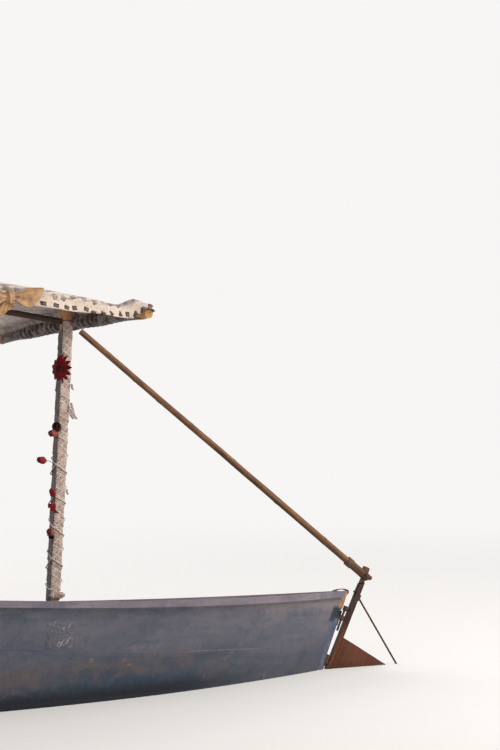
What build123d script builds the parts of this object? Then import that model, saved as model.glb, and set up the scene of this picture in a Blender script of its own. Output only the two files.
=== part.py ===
from build123d import *
import os

# Open double-ended wooden boat with awning, raked rudder and tiller pole.
# Millimetres. X runs forward, Y to port, Z up; the origin is amidships at the waterline.

# Hull lengths and breadths
WATER_HALF_LENGTH = 2715.0
BEAM = 1600.0
WATER_BEAM = 1220.0
WATER_FULLNESS = 2.22
SHEER_FULLNESS = 2.46
STERN_RAKE = 0.46
STEM_RAKE = 0.50
RAKE_FADE = 2.2
BOTTOM_DEPTH = 190.0
GARBOARD_RISE = 45.0
GARBOARD_SHARE = 0.62
BILGE_TOP_DEPTH = 25.0
HULL_LOFT_TOP = 1050.0

# Sheer and seam heights at the stern, at the low waist and at the bow
PROFILE_STERN_X = -3300.0
PROFILE_WAIST_X = -600.0
PROFILE_BOW_X = 3500.0
SHEER_STERN_Z = 412.0
SHEER_DIP_X = -2000.0
SHEER_DIP_Z = 408.0
SHEER_WAIST_Z = 466.0
SHEER_BOW_Z = 850.0
SEAM_STERN_Z = 88.0
SEAM_DIP_Z = 156.0
SEAM_WAIST_Z = 236.0
SEAM_BOW_Z = 500.0
BILGE_SEAM_Z = -30.0
GARBOARD_WIDTH = 300.0

# Timber thicknesses
TIMBER = 45.0
TIMBER_STEP = 6.0
PLANK = 18.0
SEAM = 0.4
FIT = 0.3
RIB_DEPTH = 28.0
RIB_WIDTH = 32.0
RIB_PITCH = 340.0
RIB_COUNT = 13
INWALE_THICK = 22.0
INWALE_HEIGHT = 42.0
RUB_THICK = 26.0
RUB_HEIGHT = 32.0
RUB_SCARF_X = -930.0
RUB_SCARF_LEAN = 35.0
RISER_THICK = 20.0
RISER_TOP_Z = 250.0
RISER_HEIGHT = 45.0
RISER_REACH = 1950.0
THWART_WIDTH = 210.0
THWART_THICK = 28.0
BREASTHOOK_DROP = 12.0
BREASTHOOK_THICK = 30.0
BREASTHOOK_LENGTH = 240.0
FLOOR_Z = -80.0
FLOORBOARD_THICK = 15.0
FLOORBOARD_WIDTH = 118.0
FLOORBOARD_GAP = 5.0
FLOORBOARD_COUNT = 5
FLOOR_REACH = 1750.0
OUTER_BOARD_REACH = 1640.0

# Backbone outlines in the side view
STERN_FACE_X = -2749.0
STERN_HEAD_Z = 402.0
KEEL_BOTTOM_Z = -245.0
KEEL_HEEL_X = -2560.0
KEEL_FORE_X = 2480.0
STEM_FACE_X = 2762.0
STEM_HEAD_Z = 880.0
APRON_DEPTH = 110.0
NOTCH_LOW_Z = 258.0
NOTCH_HIGH_Z = 318.0
NOTCH_DEPTH = 15.0
SCARF_X = 2350.0

# Awning frame
POST = 50.0
AFT_POST_RAIL_X = -1222.0
AFT_POST_RAIL_Z = 445.0
AFT_POST_LEAN = 0.0945
FORE_POST_X = 640.0
STEP_LENGTH = 150.0
STEP_WIDTH = 110.0
STEP_HEIGHT = 45.0
STEP_SOCKET = 25.0
BAR_RADIUS = 22.5
BAR_PORT = 828.0
BAR_STARBOARD = 960.0
AFT_BAR_Z = 1812.0
BAR_DROP = 0.032
RIDGE_RADIUS = 17.0
RIDGE_AFT_Z = 1820.0
RIDGE_SLOPE = 0.158
RIDGE_OVERHANG = 38.0
AFT_POST_TOP_Z = 1893.0
CLOTH = 6.0
CLOTH_PORT = 860.0
CLOTH_STARBOARD = 960.0
CLOTH_SHOULDER = 26.0
CLOTH_OVERHANG = 40.0
RIDGE_LIFT = 23.6
EDGE_DROP = 27.0
FLAP_DEPTH = 86.0
HEM_RADIUS = 34.0
HEM_PORT = 700.0
HEM_STARBOARD = 930.0
KNOT_X = -686.0
KNOT_Z = 1842.0
WRAP = 5.0
WRAP_LOW_Z = 470.0
WRAP_HIGH_Z = 1768.0
FLOWER_FACING = Vector(0.64, 0.768, 0)
BUD_Z = 1132.0
BUD_RISE = 50.0
BUD_REACH = 84.0
BUD_RADIUS = 19.0
STEM_RADIUS = 3.0

# Rudder hinge, stock, blade and irons
AXIS_X = -2925.0
AXIS_Z = 320.0
AXIS_SLOPE = 0.50
STOCK_TOP_Z = 442.0
STOCK_FOOT_Z = -285.0
STOCK_DEPTH = 28.0
STOCK_WIDTH = 27.0
STOCK_WATER_X = -2795.0
STOCK_SLOPE = 0.53
BLADE_THICK = 20.0
BLADE_TOP_Z = 170.0
BLADE_TIP_X = -3285.0
BLADE_TIP_Z = -80.0
BLADE_FOOT_X = -3120.0
BLADE_FOOT_Z = -300.0
PINTLE_RADIUS = 6.0
PINTLE_CLEAR = 0.1
EYE_RADIUS = 12.0
EYE_HEIGHT = 24.0
EYE_CLEAR = 5.0
UPPER_EYE_Z = 262.0
UPPER_PIN_REACH = 60.0
UPPER_LUG_GAP = 30.0
LOWER_EYE_Z = 40.0
LOWER_PIN_REACH = 12.0
IRON = 4.0
STRAP_REACH = 80.0
STRAP_DROP = 22.0
STAY_RADIUS = 5.0
STAY_TOP_Z = 361.0
STAY_FOOT_X = -3260.0

# Tiller pole and its forked sleeve
PIN_X = -3049.0
PIN_Z = 480.0
PIN_RADIUS = 6.0
TONGUE_THICK = 11.0
TONGUE_WIDTH = 26.0
TONGUE_SINK = 70.0
FORK_CLEAR = 1.0
TILLER_SLOPE = 0.8053
TILLER_REACH = 2076.0
TILLER_BUTT_RADIUS = 18.5
TILLER_TIP_RADIUS = 16.0
SLEEVE_RADIUS = 22.0
SLEEVE_TAIL = 24.0
SLEEVE_LENGTH = 135.0
HEEL_REACH = 44.0
HEEL_RADIUS = 13.0
HEEL_RISE = 9.0
FORK_DEPTH = 26.0

HUGE = 9000.0


def share_filled(share, fullness):
    """Share of the full breadth reached at a share of the half-length from the end."""
    return 1.0 - (1.0 - share) ** fullness


def sheer_height(x):
    """Rough sheer height at x, used to set how far the sides flare."""
    past_dip = (x - SHEER_DIP_X) / (PROFILE_BOW_X - SHEER_DIP_X)
    return SHEER_DIP_Z + (SHEER_BOW_Z - SHEER_DIP_Z) * max(past_dip, 0.0) ** 1.25


def end_share(inset):
    """Share of the half-length where the section is just wide enough for an inset."""
    start = TIMBER / 2 + TIMBER_STEP
    need = (inset + 3.0 - start) / (WATER_BEAM / 2 - start)
    if need <= 0:
        return 0.0
    return 1.0 - (1.0 - need) ** (1.0 / WATER_FULLNESS)


def hull_section(end, share, inset):
    """Closed section wire at a share of the half-length from one end, moved inwards."""
    fade = (1.0 - share) ** RAKE_FADE
    rake = STERN_RAKE if end < 0 else STEM_RAKE
    x_water = end * WATER_HALF_LENGTH * (1.0 - share)
    slope = end * rake * fade
    start = TIMBER / 2 + TIMBER_STEP
    half_water = start + (WATER_BEAM / 2 - start) * share_filled(share, WATER_FULLNESS)
    half_sheer = start + (BEAM / 2 - start) * share_filled(share, SHEER_FULLNESS)
    flare = (half_sheer - half_water) / sheer_height(x_water)
    half = half_water - inset
    low = -BOTTOM_DEPTH + inset
    garboard = Vector(0, half * GARBOARD_SHARE, low + GARBOARD_RISE)
    bilge = Vector(0, half - flare * BILGE_TOP_DEPTH, -BILGE_TOP_DEPTH)
    turn = Vector(0, half * 0.92, low + GARBOARD_RISE + 0.36 * (bilge.Z - garboard.Z))
    top = Vector(0, half + flare * HULL_LOFT_TOP, HULL_LOFT_TOP)

    def at(point, side):
        return Vector(x_water + slope * point.Z, side * point.Y, point.Z)

    keel = at(Vector(0, 0, low), 1)
    edges = [
        Line(keel, at(garboard, 1)),
        ThreePointArc(at(garboard, 1), at(turn, 1), at(bilge, 1)),
        Line(at(bilge, 1), at(top, 1)),
        Line(at(top, 1), at(top, -1)),
        Line(at(top, -1), at(bilge, -1)),
        ThreePointArc(at(bilge, -1), at(turn, -1), at(garboard, -1)),
        Line(at(garboard, -1), keel),
    ]
    return Wire(edges)


# Shares of the half-length, from an end to amidships, where the hull has a section
STATION_SHARES = (0.0, 0.12, 0.32, 0.62)


def hull_body(inset):
    """Solid of the whole hull with its skin moved inwards by inset."""
    first = end_share(inset)
    shares = [first] + [s for s in STATION_SHARES if s > first + 0.05]
    stern = [hull_section(-1, s, inset) for s in shares]
    bow = [hull_section(1, s, inset) for s in reversed(shares)]
    middle = [hull_section(1, 1.0, inset)]
    return Solid.make_loft(stern + middle + bow)


def side_plate(points, width):
    """Plate with an outline in the X-Z plane, centred on the centreline."""
    outline = Polyline(*[(x, 0, z) for x, z in points], close=True)
    return extrude(make_face(outline), amount=width / 2, dir=(0, 1, 0), both=True)


def profile_curve(stern_z, dip_z, waist_z, bow_z, lift=0.0):
    """Side-view curve through the stern, dip and waist, and on to the bow."""
    aft = ThreePointArc(
        (PROFILE_STERN_X, 0, stern_z + lift),
        (SHEER_DIP_X, 0, dip_z + lift),
        (PROFILE_WAIST_X, 0, waist_z + lift),
    )
    fore = TangentArc(
        (PROFILE_WAIST_X, 0, waist_z + lift),
        (PROFILE_BOW_X, 0, bow_z + lift),
        tangent=aft % 1,
    )
    return [aft, fore]


def below(curve, floor_z=-HUGE / 6):
    """Everything under a side-view curve down to a floor height."""
    start = curve[0] @ 0
    end = curve[-1] @ 1
    edges = curve + [
        Line(end, (end.X, 0, floor_z)),
        Line((end.X, 0, floor_z), (start.X, 0, floor_z)),
        Line((start.X, 0, floor_z), start),
    ]
    return extrude(make_face(Wire(edges)), amount=HUGE / 6, dir=(0, 1, 0), both=True)


def below_sheer(lift=0.0):
    """Everything under the sheer line, lifted."""
    return below(profile_curve(SHEER_STERN_Z, SHEER_DIP_Z, SHEER_WAIST_Z, SHEER_BOW_Z, lift))


def below_seam(lift=0.0):
    """Everything under the topside seam, lifted."""
    return below(profile_curve(SEAM_STERN_Z, SEAM_DIP_Z, SEAM_WAIST_Z, SEAM_BOW_Z, lift))


def slab_x(x_low, x_high):
    """Everything between two stations."""
    return Pos((x_low + x_high) / 2, 0, 0) * Box(x_high - x_low, HUGE, HUGE)


def slab_z(z_low, z_high):
    """Everything between two heights."""
    return Pos(0, 0, (z_low + z_high) / 2) * Box(HUGE, HUGE, z_high - z_low)


def centre_slab(clear=0.0):
    """The room taken up by the backbone timbers, widened by a clearance on each side."""
    return Box(HUGE, TIMBER + 2 * clear, HUGE)


def rod(start, end, radius):
    """Round rod between two points."""
    a = Vector(*start)
    b = Vector(*end)
    along = Plane(origin=a, z_dir=(b - a))
    return along * Cylinder(radius, (b - a).length, align=(Align.CENTER, Align.CENTER, Align.MIN))


def stern_face_x(z):
    """X of the sternpost's after face at a height."""
    return STERN_FACE_X - STERN_RAKE * z


def stem_face_x(z):
    """X of the stem's fore face at a height."""
    return STEM_FACE_X + STEM_RAKE * z


def axis_x(z):
    """X of the rudder's hinge axis at a height."""
    return AXIS_X - AXIS_SLOPE * (z - AXIS_Z)


def stock_x(z):
    """X of the rudder stock's centreline at a height."""
    return STOCK_WATER_X - STOCK_SLOPE * z


def sternpost():
    """Raked after timber with a worn notch, from its head to the keel scarf."""
    notch_mid = (NOTCH_LOW_Z + NOTCH_HIGH_Z) / 2
    inner_low = -BOTTOM_DEPTH + PLANK
    points = [
        (stern_face_x(STERN_HEAD_Z), STERN_HEAD_Z),
        (stern_face_x(NOTCH_HIGH_Z), NOTCH_HIGH_Z),
        (stern_face_x(notch_mid) + NOTCH_DEPTH, notch_mid),
        (stern_face_x(NOTCH_LOW_Z), NOTCH_LOW_Z),
        (stern_face_x(0), 0),
        (KEEL_HEEL_X, KEEL_BOTTOM_Z),
        (-SCARF_X - TIMBER, KEEL_BOTTOM_Z),
        (-SCARF_X, inner_low),
        (stern_face_x(0) + APRON_DEPTH + TIMBER, inner_low),
        (stern_face_x(0) + APRON_DEPTH, 0),
        (stern_face_x(STERN_HEAD_Z) + APRON_DEPTH, STERN_HEAD_Z),
    ]
    return side_plate(points, TIMBER)


def keel():
    """Straight keel between the two scarfs."""
    inner_low = -BOTTOM_DEPTH + PLANK
    points = [
        (-SCARF_X - TIMBER, KEEL_BOTTOM_Z),
        (SCARF_X + TIMBER, KEEL_BOTTOM_Z),
        (SCARF_X, inner_low),
        (-SCARF_X, inner_low),
    ]
    return side_plate(points, TIMBER)


def stem():
    """Raked fore timber that stands above the sheer."""
    inner_low = -BOTTOM_DEPTH + PLANK
    points = [
        (stem_face_x(STEM_HEAD_Z), STEM_HEAD_Z),
        (stem_face_x(0), 0),
        (stem_face_x(0) - 105, -150),
        (KEEL_FORE_X, KEEL_BOTTOM_Z),
        (SCARF_X + TIMBER, KEEL_BOTTOM_Z),
        (SCARF_X, inner_low),
        (stem_face_x(0) - APRON_DEPTH - TIMBER, inner_low),
        (stem_face_x(0) - APRON_DEPTH, 0),
        (stem_face_x(STEM_HEAD_Z) - APRON_DEPTH, STEM_HEAD_Z),
    ]
    return side_plate(points, TIMBER)


def planking():
    """The four pairs of strakes, cut from one hollow skin along their seams."""
    skin = hull_body(0) - hull_body(PLANK) - centre_slab(FIT)
    skin = skin & below_sheer()
    garboard_room = Box(HUGE, 2 * GARBOARD_WIDTH, HUGE)
    garboard_cut = Box(HUGE, 2 * (GARBOARD_WIDTH + SEAM), HUGE)
    under_bilge = slab_z(-HUGE, BILGE_SEAM_Z)
    over_bilge = slab_z(BILGE_SEAM_Z + SEAM, HUGE)
    upper = skin - below_seam(SEAM)
    lower = skin & below_seam() & over_bilge
    bottom = skin & under_bilge
    return {
        "upper_strakes": upper,
        "lower_strakes": lower,
        "bilge_strakes": bottom - garboard_cut,
        "garboards": bottom & garboard_room,
    }


def rib_stations():
    """X of each rib's middle."""
    first = -RIB_PITCH * (RIB_COUNT - 1) / 2
    return [first + RIB_PITCH * index for index in range(RIB_COUNT)]


def ribs(lining, inner):
    """Bent frames that line the planks from the keel up to the inwales."""
    room = lining - inner
    room = room & below_sheer(-INWALE_HEIGHT - FIT)
    slices = [slab_x(x - RIB_WIDTH / 2, x + RIB_WIDTH / 2) for x in rib_stations()]
    return Compound(children=[piece for s in slices for piece in (room & s).solids()])


def inwales(lining):
    """Inner rails along the sheer, between the breasthooks."""
    band = lining - hull_body(PLANK + FIT + INWALE_THICK)
    band = band & (below_sheer() - below_sheer(-INWALE_HEIGHT))
    reach = WATER_HALF_LENGTH - BREASTHOOK_LENGTH / 2
    return band & slab_x(-reach, reach)


def rub_rails():
    """Outer rails along the sheer, each in two lengths with a slanting scarf."""
    band = hull_body(-RUB_THICK - FIT) - hull_body(-FIT) - centre_slab(FIT)
    band = band & (below_sheer() - below_sheer(-RUB_HEIGHT))
    z_mid = (SHEER_DIP_Z + SHEER_WAIST_Z) / 2
    cut = side_plate(
        [
            (RUB_SCARF_X - RUB_SCARF_LEAN, z_mid - 3 * RUB_HEIGHT),
            (RUB_SCARF_X - RUB_SCARF_LEAN + SEAM, z_mid - 3 * RUB_HEIGHT),
            (RUB_SCARF_X + RUB_SCARF_LEAN + SEAM, z_mid + 3 * RUB_HEIGHT),
            (RUB_SCARF_X + RUB_SCARF_LEAN, z_mid + 3 * RUB_HEIGHT),
        ],
        HUGE / 3,
    )
    return band - cut


def thwart_risers(inner):
    """Stringers on the ribs' inner faces that carry the thwarts."""
    band = inner - hull_body(PLANK + FIT + RIB_DEPTH + FIT + RISER_THICK)
    return band & slab_z(RISER_TOP_Z - RISER_HEIGHT, RISER_TOP_Z) & slab_x(-RISER_REACH, RISER_REACH)


# X of each thwart's middle: stern thwart, aft post thwart, middle, fore post thwart, bow thwart
THWART_XS = (-1780.0, AFT_POST_RAIL_X + 17.0, -270.0, FORE_POST_X, 1600.0)


def thwarts(inner, posts):
    """Seats across the boat; two of them are holed for the awning posts."""
    room = inner & slab_z(RISER_TOP_Z + FIT, RISER_TOP_Z + FIT + THWART_THICK)
    slices = [room & slab_x(x - THWART_WIDTH / 2, x + THWART_WIDTH / 2) for x in THWART_XS]
    seats = Compound(children=[piece for s in slices for piece in s.solids()])
    return seats - posts


def breasthooks(lining):
    """Flat knees that tie the two sides to the sternpost and the stem."""
    band = below_sheer(-BREASTHOOK_DROP) - below_sheer(-BREASTHOOK_DROP - BREASTHOOK_THICK)
    room = lining & band
    aft_end = stern_face_x(STERN_HEAD_Z - BREASTHOOK_DROP) + APRON_DEPTH
    fore_end = stem_face_x(SHEER_BOW_Z - 3 * BREASTHOOK_DROP) - APRON_DEPTH
    aft = room & slab_x(aft_end - BREASTHOOK_LENGTH, -WATER_HALF_LENGTH + BREASTHOOK_LENGTH / 2)
    fore = room & slab_x(fore_end - BREASTHOOK_LENGTH, fore_end + BREASTHOOK_LENGTH)
    return aft - sternpost(), fore - stem()


def floor_bearers(inner):
    """Low cross timbers on every other rib, flat on top for the boards."""
    room = inner & slab_z(-HUGE, FLOOR_Z - FLOORBOARD_THICK - FIT)
    xs = [x for x in rib_stations()[1::2] if abs(x) < FLOOR_REACH]
    slices = [room & slab_x(x - RIB_WIDTH / 2, x + RIB_WIDTH / 2) for x in xs]
    return Compound(children=[piece for s in slices for piece in s.solids()])


def floorboards():
    """Loose boards side by side along the bottom."""
    pitch = FLOORBOARD_WIDTH + FLOORBOARD_GAP
    first = -pitch * (FLOORBOARD_COUNT - 1) / 2
    boards = []
    for index in range(FLOORBOARD_COUNT):
        reach = OUTER_BOARD_REACH if index in (0, FLOORBOARD_COUNT - 1) else FLOOR_REACH
        board = Box(2 * reach, FLOORBOARD_WIDTH, FLOORBOARD_THICK)
        boards.append(Pos(0, first + pitch * index, FLOOR_Z - FLOORBOARD_THICK / 2) * board)
    return Compound(children=boards)


def aft_post_x(z):
    """X of the leaning after post's middle at a height."""
    return AFT_POST_RAIL_X - AFT_POST_LEAN * (z - AFT_POST_RAIL_Z)


def ridge_z(x):
    """Height of the ridge pole's centreline."""
    return RIDGE_AFT_Z + RIDGE_SLOPE * (x - aft_bar_x())


def aft_bar_x():
    """X of the after crossbar, lashed behind the leaning post."""
    reach = (POST / 2 + BAR_RADIUS + FIT) * (1 + AFT_POST_LEAN**2) ** 0.5
    return aft_post_x(AFT_BAR_Z) - reach


def fore_bar_x():
    """X of the fore crossbar, lashed ahead of the upright post."""
    return FORE_POST_X + POST / 2 + BAR_RADIUS + FIT


def fore_bar_z():
    """Height of the fore crossbar, right under the ridge pole."""
    under_ridge = (BAR_RADIUS + RIDGE_RADIUS + FIT) * (1 + RIDGE_SLOPE**2 + BAR_DROP**2) ** 0.5
    return ridge_z(fore_bar_x()) - under_ridge


def leaning_post(extra, z_low, z_high):
    """Square bar along the after post's line, thicker by extra on each face."""
    half = (POST / 2 + extra) * (1 + AFT_POST_LEAN**2) ** 0.5
    points = [
        (aft_post_x(z_low) - half, z_low),
        (aft_post_x(z_low) + half, z_low),
        (aft_post_x(z_high) + half, z_high),
        (aft_post_x(z_high) - half, z_high),
    ]
    return side_plate(points, POST + 2 * extra)


def upright_post(extra, z_low, z_high):
    """Square bar along the fore post's line, thicker by extra on each face."""
    side = POST + 2 * extra
    return Pos(FORE_POST_X, 0, (z_low + z_high) / 2) * Box(side, side, z_high - z_low)


def fore_post_top():
    """Height of the fore post's top, under the ridge pole."""
    lowest = FORE_POST_X - POST / 2
    return ridge_z(lowest) - (RIDGE_RADIUS + FIT) * (1 + RIDGE_SLOPE**2) ** 0.5


def post_foot():
    """Height of both posts' feet, in the sockets of their steps."""
    return FLOOR_Z + FIT + STEP_HEIGHT - STEP_SOCKET


def post_steps():
    """Blocks on the floorboards with a square socket for each post."""
    sockets = leaning_post(FIT, post_foot() - FIT, FLOOR_Z + 3 * STEP_HEIGHT)
    sockets += upright_post(FIT, post_foot() - FIT, FLOOR_Z + 3 * STEP_HEIGHT)
    blocks = []
    for x in (aft_post_x(post_foot()), FORE_POST_X):
        block = Box(STEP_LENGTH, STEP_WIDTH, STEP_HEIGHT)
        blocks.append(Pos(x, 0, FLOOR_Z + FIT + STEP_HEIGHT / 2) * block - sockets)
    return Compound(children=blocks)


def crossbar(x, z, radius=BAR_RADIUS, starboard=BAR_STARBOARD, port=BAR_PORT):
    """Round bar across the boat, a little lower at its port end."""
    return rod((x, -starboard, z + BAR_DROP * starboard), (x, port, z - BAR_DROP * port), radius)


def ridge_pole(extra=0.0):
    """Round pole from the after post's fore face to over the fore crossbar, thicker by extra."""
    aft = aft_post_x(RIDGE_AFT_Z)
    fore = fore_bar_x() + RIDGE_OVERHANG
    pole = rod((aft, 0, ridge_z(aft)), (fore, 0, ridge_z(fore)), RIDGE_RADIUS + extra)
    return pole - leaning_post(FIT, RIDGE_AFT_Z - POST, AFT_POST_TOP_Z)


def cloth_section(x, crown, edge, flap):
    """Closed strip across the boat: up one flap, over the crown, down the other flap and back."""
    port = CLOTH_PORT - CLOTH_SHOULDER
    starboard = CLOTH_STARBOARD - CLOTH_SHOULDER
    outside = [
        (-CLOTH_STARBOARD, edge - flap),
        (-starboard, edge),
        (0, crown),
        (port, edge),
        (CLOTH_PORT, edge - flap),
    ]
    inside = [
        (CLOTH_PORT - CLOTH, edge - flap),
        (port - CLOTH, edge - CLOTH),
        (0, crown - CLOTH),
        (-starboard + CLOTH, edge - CLOTH),
        (-CLOTH_STARBOARD + CLOTH, edge - flap),
    ]
    return Polyline(*[(x, y, z - BAR_DROP * y) for y, z in outside + inside], close=True)


def canopy():
    """Awning cloth: a tent over post and ridge pole with side flaps and a hem rolled round each crossbar."""
    shallow = 2.0
    aft = aft_bar_x()
    fore = fore_bar_x()
    # X of each section, rise of the crown over the ridge pole, drop to the edge, depth of the flap
    sections = (
        (aft - CLOTH_OVERHANG, 38.0, 10.7, shallow),
        (aft + 6, 80.0, 59.7, shallow),
        (aft + 24, 77.0, 59.7, shallow),
        (aft + 50, 73.0, 63.0, 46.0),
        (aft + 190, 53.0, 70.0, 50.0),
        (aft + 290, 38.0, 44.0, 62.0),
        (aft + 420, RIDGE_LIFT, EDGE_DROP, 76.0),
        (aft + 580, RIDGE_LIFT, EDGE_DROP, FLAP_DEPTH),
        (fore - 10 * CLOTH_OVERHANG, RIDGE_LIFT, EDGE_DROP, FLAP_DEPTH),
        (fore - CLOTH_OVERHANG, RIDGE_LIFT, EDGE_DROP, shallow),
        (fore + CLOTH_OVERHANG, RIDGE_LIFT, EDGE_DROP, shallow),
    )
    wires = []
    for x, rise, drop, flap in sections:
        crown = ridge_z(x) + rise
        wires.append(cloth_section(x, crown, crown - drop, flap))
    roof = Solid.make_loft(wires, ruled=True)
    hems = []
    for x, z in ((aft, AFT_BAR_Z), (fore, fore_bar_z())):
        roll = crossbar(x, z, HEM_RADIUS, HEM_STARBOARD, HEM_PORT)
        hems.append(roll - crossbar(x, z, BAR_RADIUS + FIT))
    cloth = roof + hems[0] + hems[1]
    posts = leaning_post(FIT, WRAP_LOW_Z, AFT_POST_TOP_Z + FIT) + upright_post(FIT, WRAP_LOW_Z, fore_post_top() + FIT)
    return cloth - posts - ridge_pole(FIT)


def post_wrap():
    """Cloth sleeve wound around the after post."""
    outer = leaning_post(FIT + WRAP, WRAP_LOW_Z, WRAP_HIGH_Z)
    return outer - leaning_post(FIT, WRAP_LOW_Z - WRAP, WRAP_HIGH_Z + WRAP)


# Flowers on the wrap's fore port corner: height, radius, length
FLOWERS = (
    (1592.0, 58.0, 16.0),
    (1283.0, 22.0, 44.0),
    (968.0, 17.0, 28.0),
    (903.0, 18.0, 30.0),
    (762.0, 21.0, 34.0),
)


def flower_root(z, radius):
    """Point on the wrap's fore port corner that a head of some radius stands clear of."""
    corner = POST / 2 + FIT + WRAP
    clear = FIT + AFT_POST_LEAN * FLOWER_FACING.X * radius
    return Vector(aft_post_x(z) + corner, corner, z) + FLOWER_FACING * clear


def flowers():
    """Flower heads and a bow on the post, and a bud at the end of a stem."""
    heads = []
    for z, radius, length in FLOWERS:
        root = flower_root(z, radius)
        heads.append(rod(root, root + FLOWER_FACING * length, radius))
    root = flower_root(BUD_Z - BUD_RISE, STEM_RADIUS)
    tip = root + Vector(BUD_REACH, 0, BUD_RISE)
    heads.append(rod(root, tip, STEM_RADIUS) + Pos(tip) * Sphere(BUD_RADIUS))
    return Compound(children=heads)


def scarf_bow():
    """Knot, two loops and a tail of cloth tied on the port flap of the awning."""
    y = CLOTH_PORT + FIT
    # Forward of the knot and above it
    outline = (
        (-148, 38),
        (-105, -36),
        (-45, -39),
        (-10, -24),
        (16, -56),
        (23, -102),
        (71, -78),
        (75, -28),
        (125, -34),
        (135, 40),
        (65, 63),
        (21, 54),
        (-12, 27),
        (-63, 37),
    )
    points = [(KNOT_X + ahead, y, KNOT_Z + above) for ahead, above in outline]
    return extrude(make_face(Polyline(*points, close=True)), amount=28, dir=(0, 1, 0))


def sternhead_strap():
    """Iron strap bent over the sternpost's head."""
    head_x = stern_face_x(STERN_HEAD_Z)
    low = STERN_HEAD_Z - STRAP_DROP
    top = STERN_HEAD_Z + FIT
    points = [
        (head_x + STRAP_REACH, top),
        (head_x + STRAP_REACH, top + IRON),
        (head_x - FIT - IRON, top + IRON),
        (stern_face_x(low) - FIT - IRON, low),
        (stern_face_x(low) - FIT, low),
        (head_x - FIT, top),
    ]
    return side_plate(points, TIMBER - IRON)


def axis_point(z, ahead=0.0):
    """Point on the rudder's hinge axis, or ahead of it, at a height."""
    return (axis_x(z) + ahead, 0, z)


def along_axis(z, rise):
    """Point a distance up the hinge axis from the point at height z."""
    step = rise / (1 + AXIS_SLOPE**2) ** 0.5
    return axis_point(z + step)


def gudgeon(eye_z):
    """Iron eye on the hinge axis with a shank and a plate on the sternpost's after face."""
    eye = rod(along_axis(eye_z, -EYE_HEIGHT / 2), along_axis(eye_z, EYE_HEIGHT / 2), EYE_RADIUS)
    shank_half = EYE_HEIGHT / 2 - 1
    shank = side_plate(
        [
            (axis_x(eye_z - shank_half), eye_z - shank_half),
            (axis_x(eye_z + shank_half), eye_z + shank_half),
            (stern_face_x(eye_z + shank_half) - FIT, eye_z + shank_half),
            (stern_face_x(eye_z - shank_half) - FIT, eye_z - shank_half),
        ],
        EYE_RADIUS * 1.4,
    )
    plate_half = 1.6 * EYE_HEIGHT
    plate = side_plate(
        [
            (stern_face_x(eye_z - plate_half) - IRON, eye_z - plate_half),
            (stern_face_x(eye_z + plate_half) - IRON, eye_z + plate_half),
            (stern_face_x(eye_z + plate_half) - FIT, eye_z + plate_half),
            (stern_face_x(eye_z - plate_half) - FIT, eye_z - plate_half),
        ],
        TIMBER - 2 * IRON,
    )
    hole = rod(along_axis(eye_z, -EYE_HEIGHT), along_axis(eye_z, EYE_HEIGHT), PINTLE_RADIUS + PINTLE_CLEAR)
    return eye + shank + plate - hole


def pintle(eye_z, reach_below, gap_above):
    """Iron strap on the stock's fore face and the pin that hangs from it through an eye."""
    foot = along_axis(eye_z, -EYE_HEIGHT / 2 - reach_below)
    strap_low = along_axis(eye_z, EYE_HEIGHT / 2 + gap_above)
    strap_high = along_axis(eye_z, EYE_HEIGHT / 2 + gap_above + EYE_HEIGHT)
    pin = rod(foot, strap_high, PINTLE_RADIUS)
    lug = rod(strap_low, strap_high, EYE_RADIUS)
    low_z = strap_low[2] + IRON
    high_z = strap_high[2] - IRON
    half_depth = STOCK_DEPTH / 2 * (1 + STOCK_SLOPE**2) ** 0.5
    arm = side_plate(
        [
            (axis_x(low_z), low_z),
            (axis_x(high_z), high_z),
            (stock_x(high_z) + half_depth + FIT, high_z),
            (stock_x(low_z) + half_depth + FIT, low_z),
        ],
        EYE_RADIUS * 1.4,
    )
    return pin + lug + arm


def stock_plate(extra, z_low, z_high):
    """Bar along the stock's line with level ends, thicker by extra on each face."""
    half = (STOCK_DEPTH / 2 + extra) * (1 + STOCK_SLOPE**2) ** 0.5
    points = [
        (stock_x(z_low) - half, z_low),
        (stock_x(z_low) + half, z_low),
        (stock_x(z_high) + half, z_high),
        (stock_x(z_high) - half, z_high),
    ]
    return side_plate(points, STOCK_WIDTH + 2 * extra)


def tongue(extra):
    """Iron tongue let into the stock's head, rounded around the tiller's pin."""
    slope = (1 + STOCK_SLOPE**2) ** 0.5
    foot_z = PIN_Z - TONGUE_SINK - (PIN_Z - STOCK_TOP_Z)
    foot_x = PIN_X + STOCK_SLOPE * (PIN_Z - foot_z)
    half = (TONGUE_WIDTH / 2 + extra) * slope
    points = [
        (foot_x - half, foot_z - extra),
        (foot_x + half, foot_z - extra),
        (PIN_X + half, PIN_Z),
        (PIN_X - half, PIN_Z),
    ]
    width = TONGUE_THICK + 2 * extra
    eye = rod((PIN_X, -width / 2, PIN_Z), (PIN_X, width / 2, PIN_Z), TONGUE_WIDTH / 2 + extra)
    return side_plate(points, width) + eye


def rudder_head():
    """The tongue with its hole for the tiller's pin."""
    hole = rod((PIN_X, -TIMBER, PIN_Z), (PIN_X, TIMBER, PIN_Z), PIN_RADIUS + PINTLE_CLEAR)
    return tongue(0) - hole


def score(eye_z, reach_below, gap_above):
    """Round hollow in the stock's fore face for one eye, its pin and its lug."""
    foot = along_axis(eye_z, -EYE_HEIGHT / 2 - reach_below - EYE_CLEAR)
    lug_low = along_axis(eye_z, EYE_HEIGHT / 2 + gap_above)
    lug_high = along_axis(eye_z, EYE_HEIGHT / 2 + gap_above + EYE_HEIGHT + FIT)
    return rod(foot, lug_low, EYE_RADIUS + EYE_CLEAR) + rod(lug_low, lug_high, EYE_RADIUS + FIT)


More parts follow.
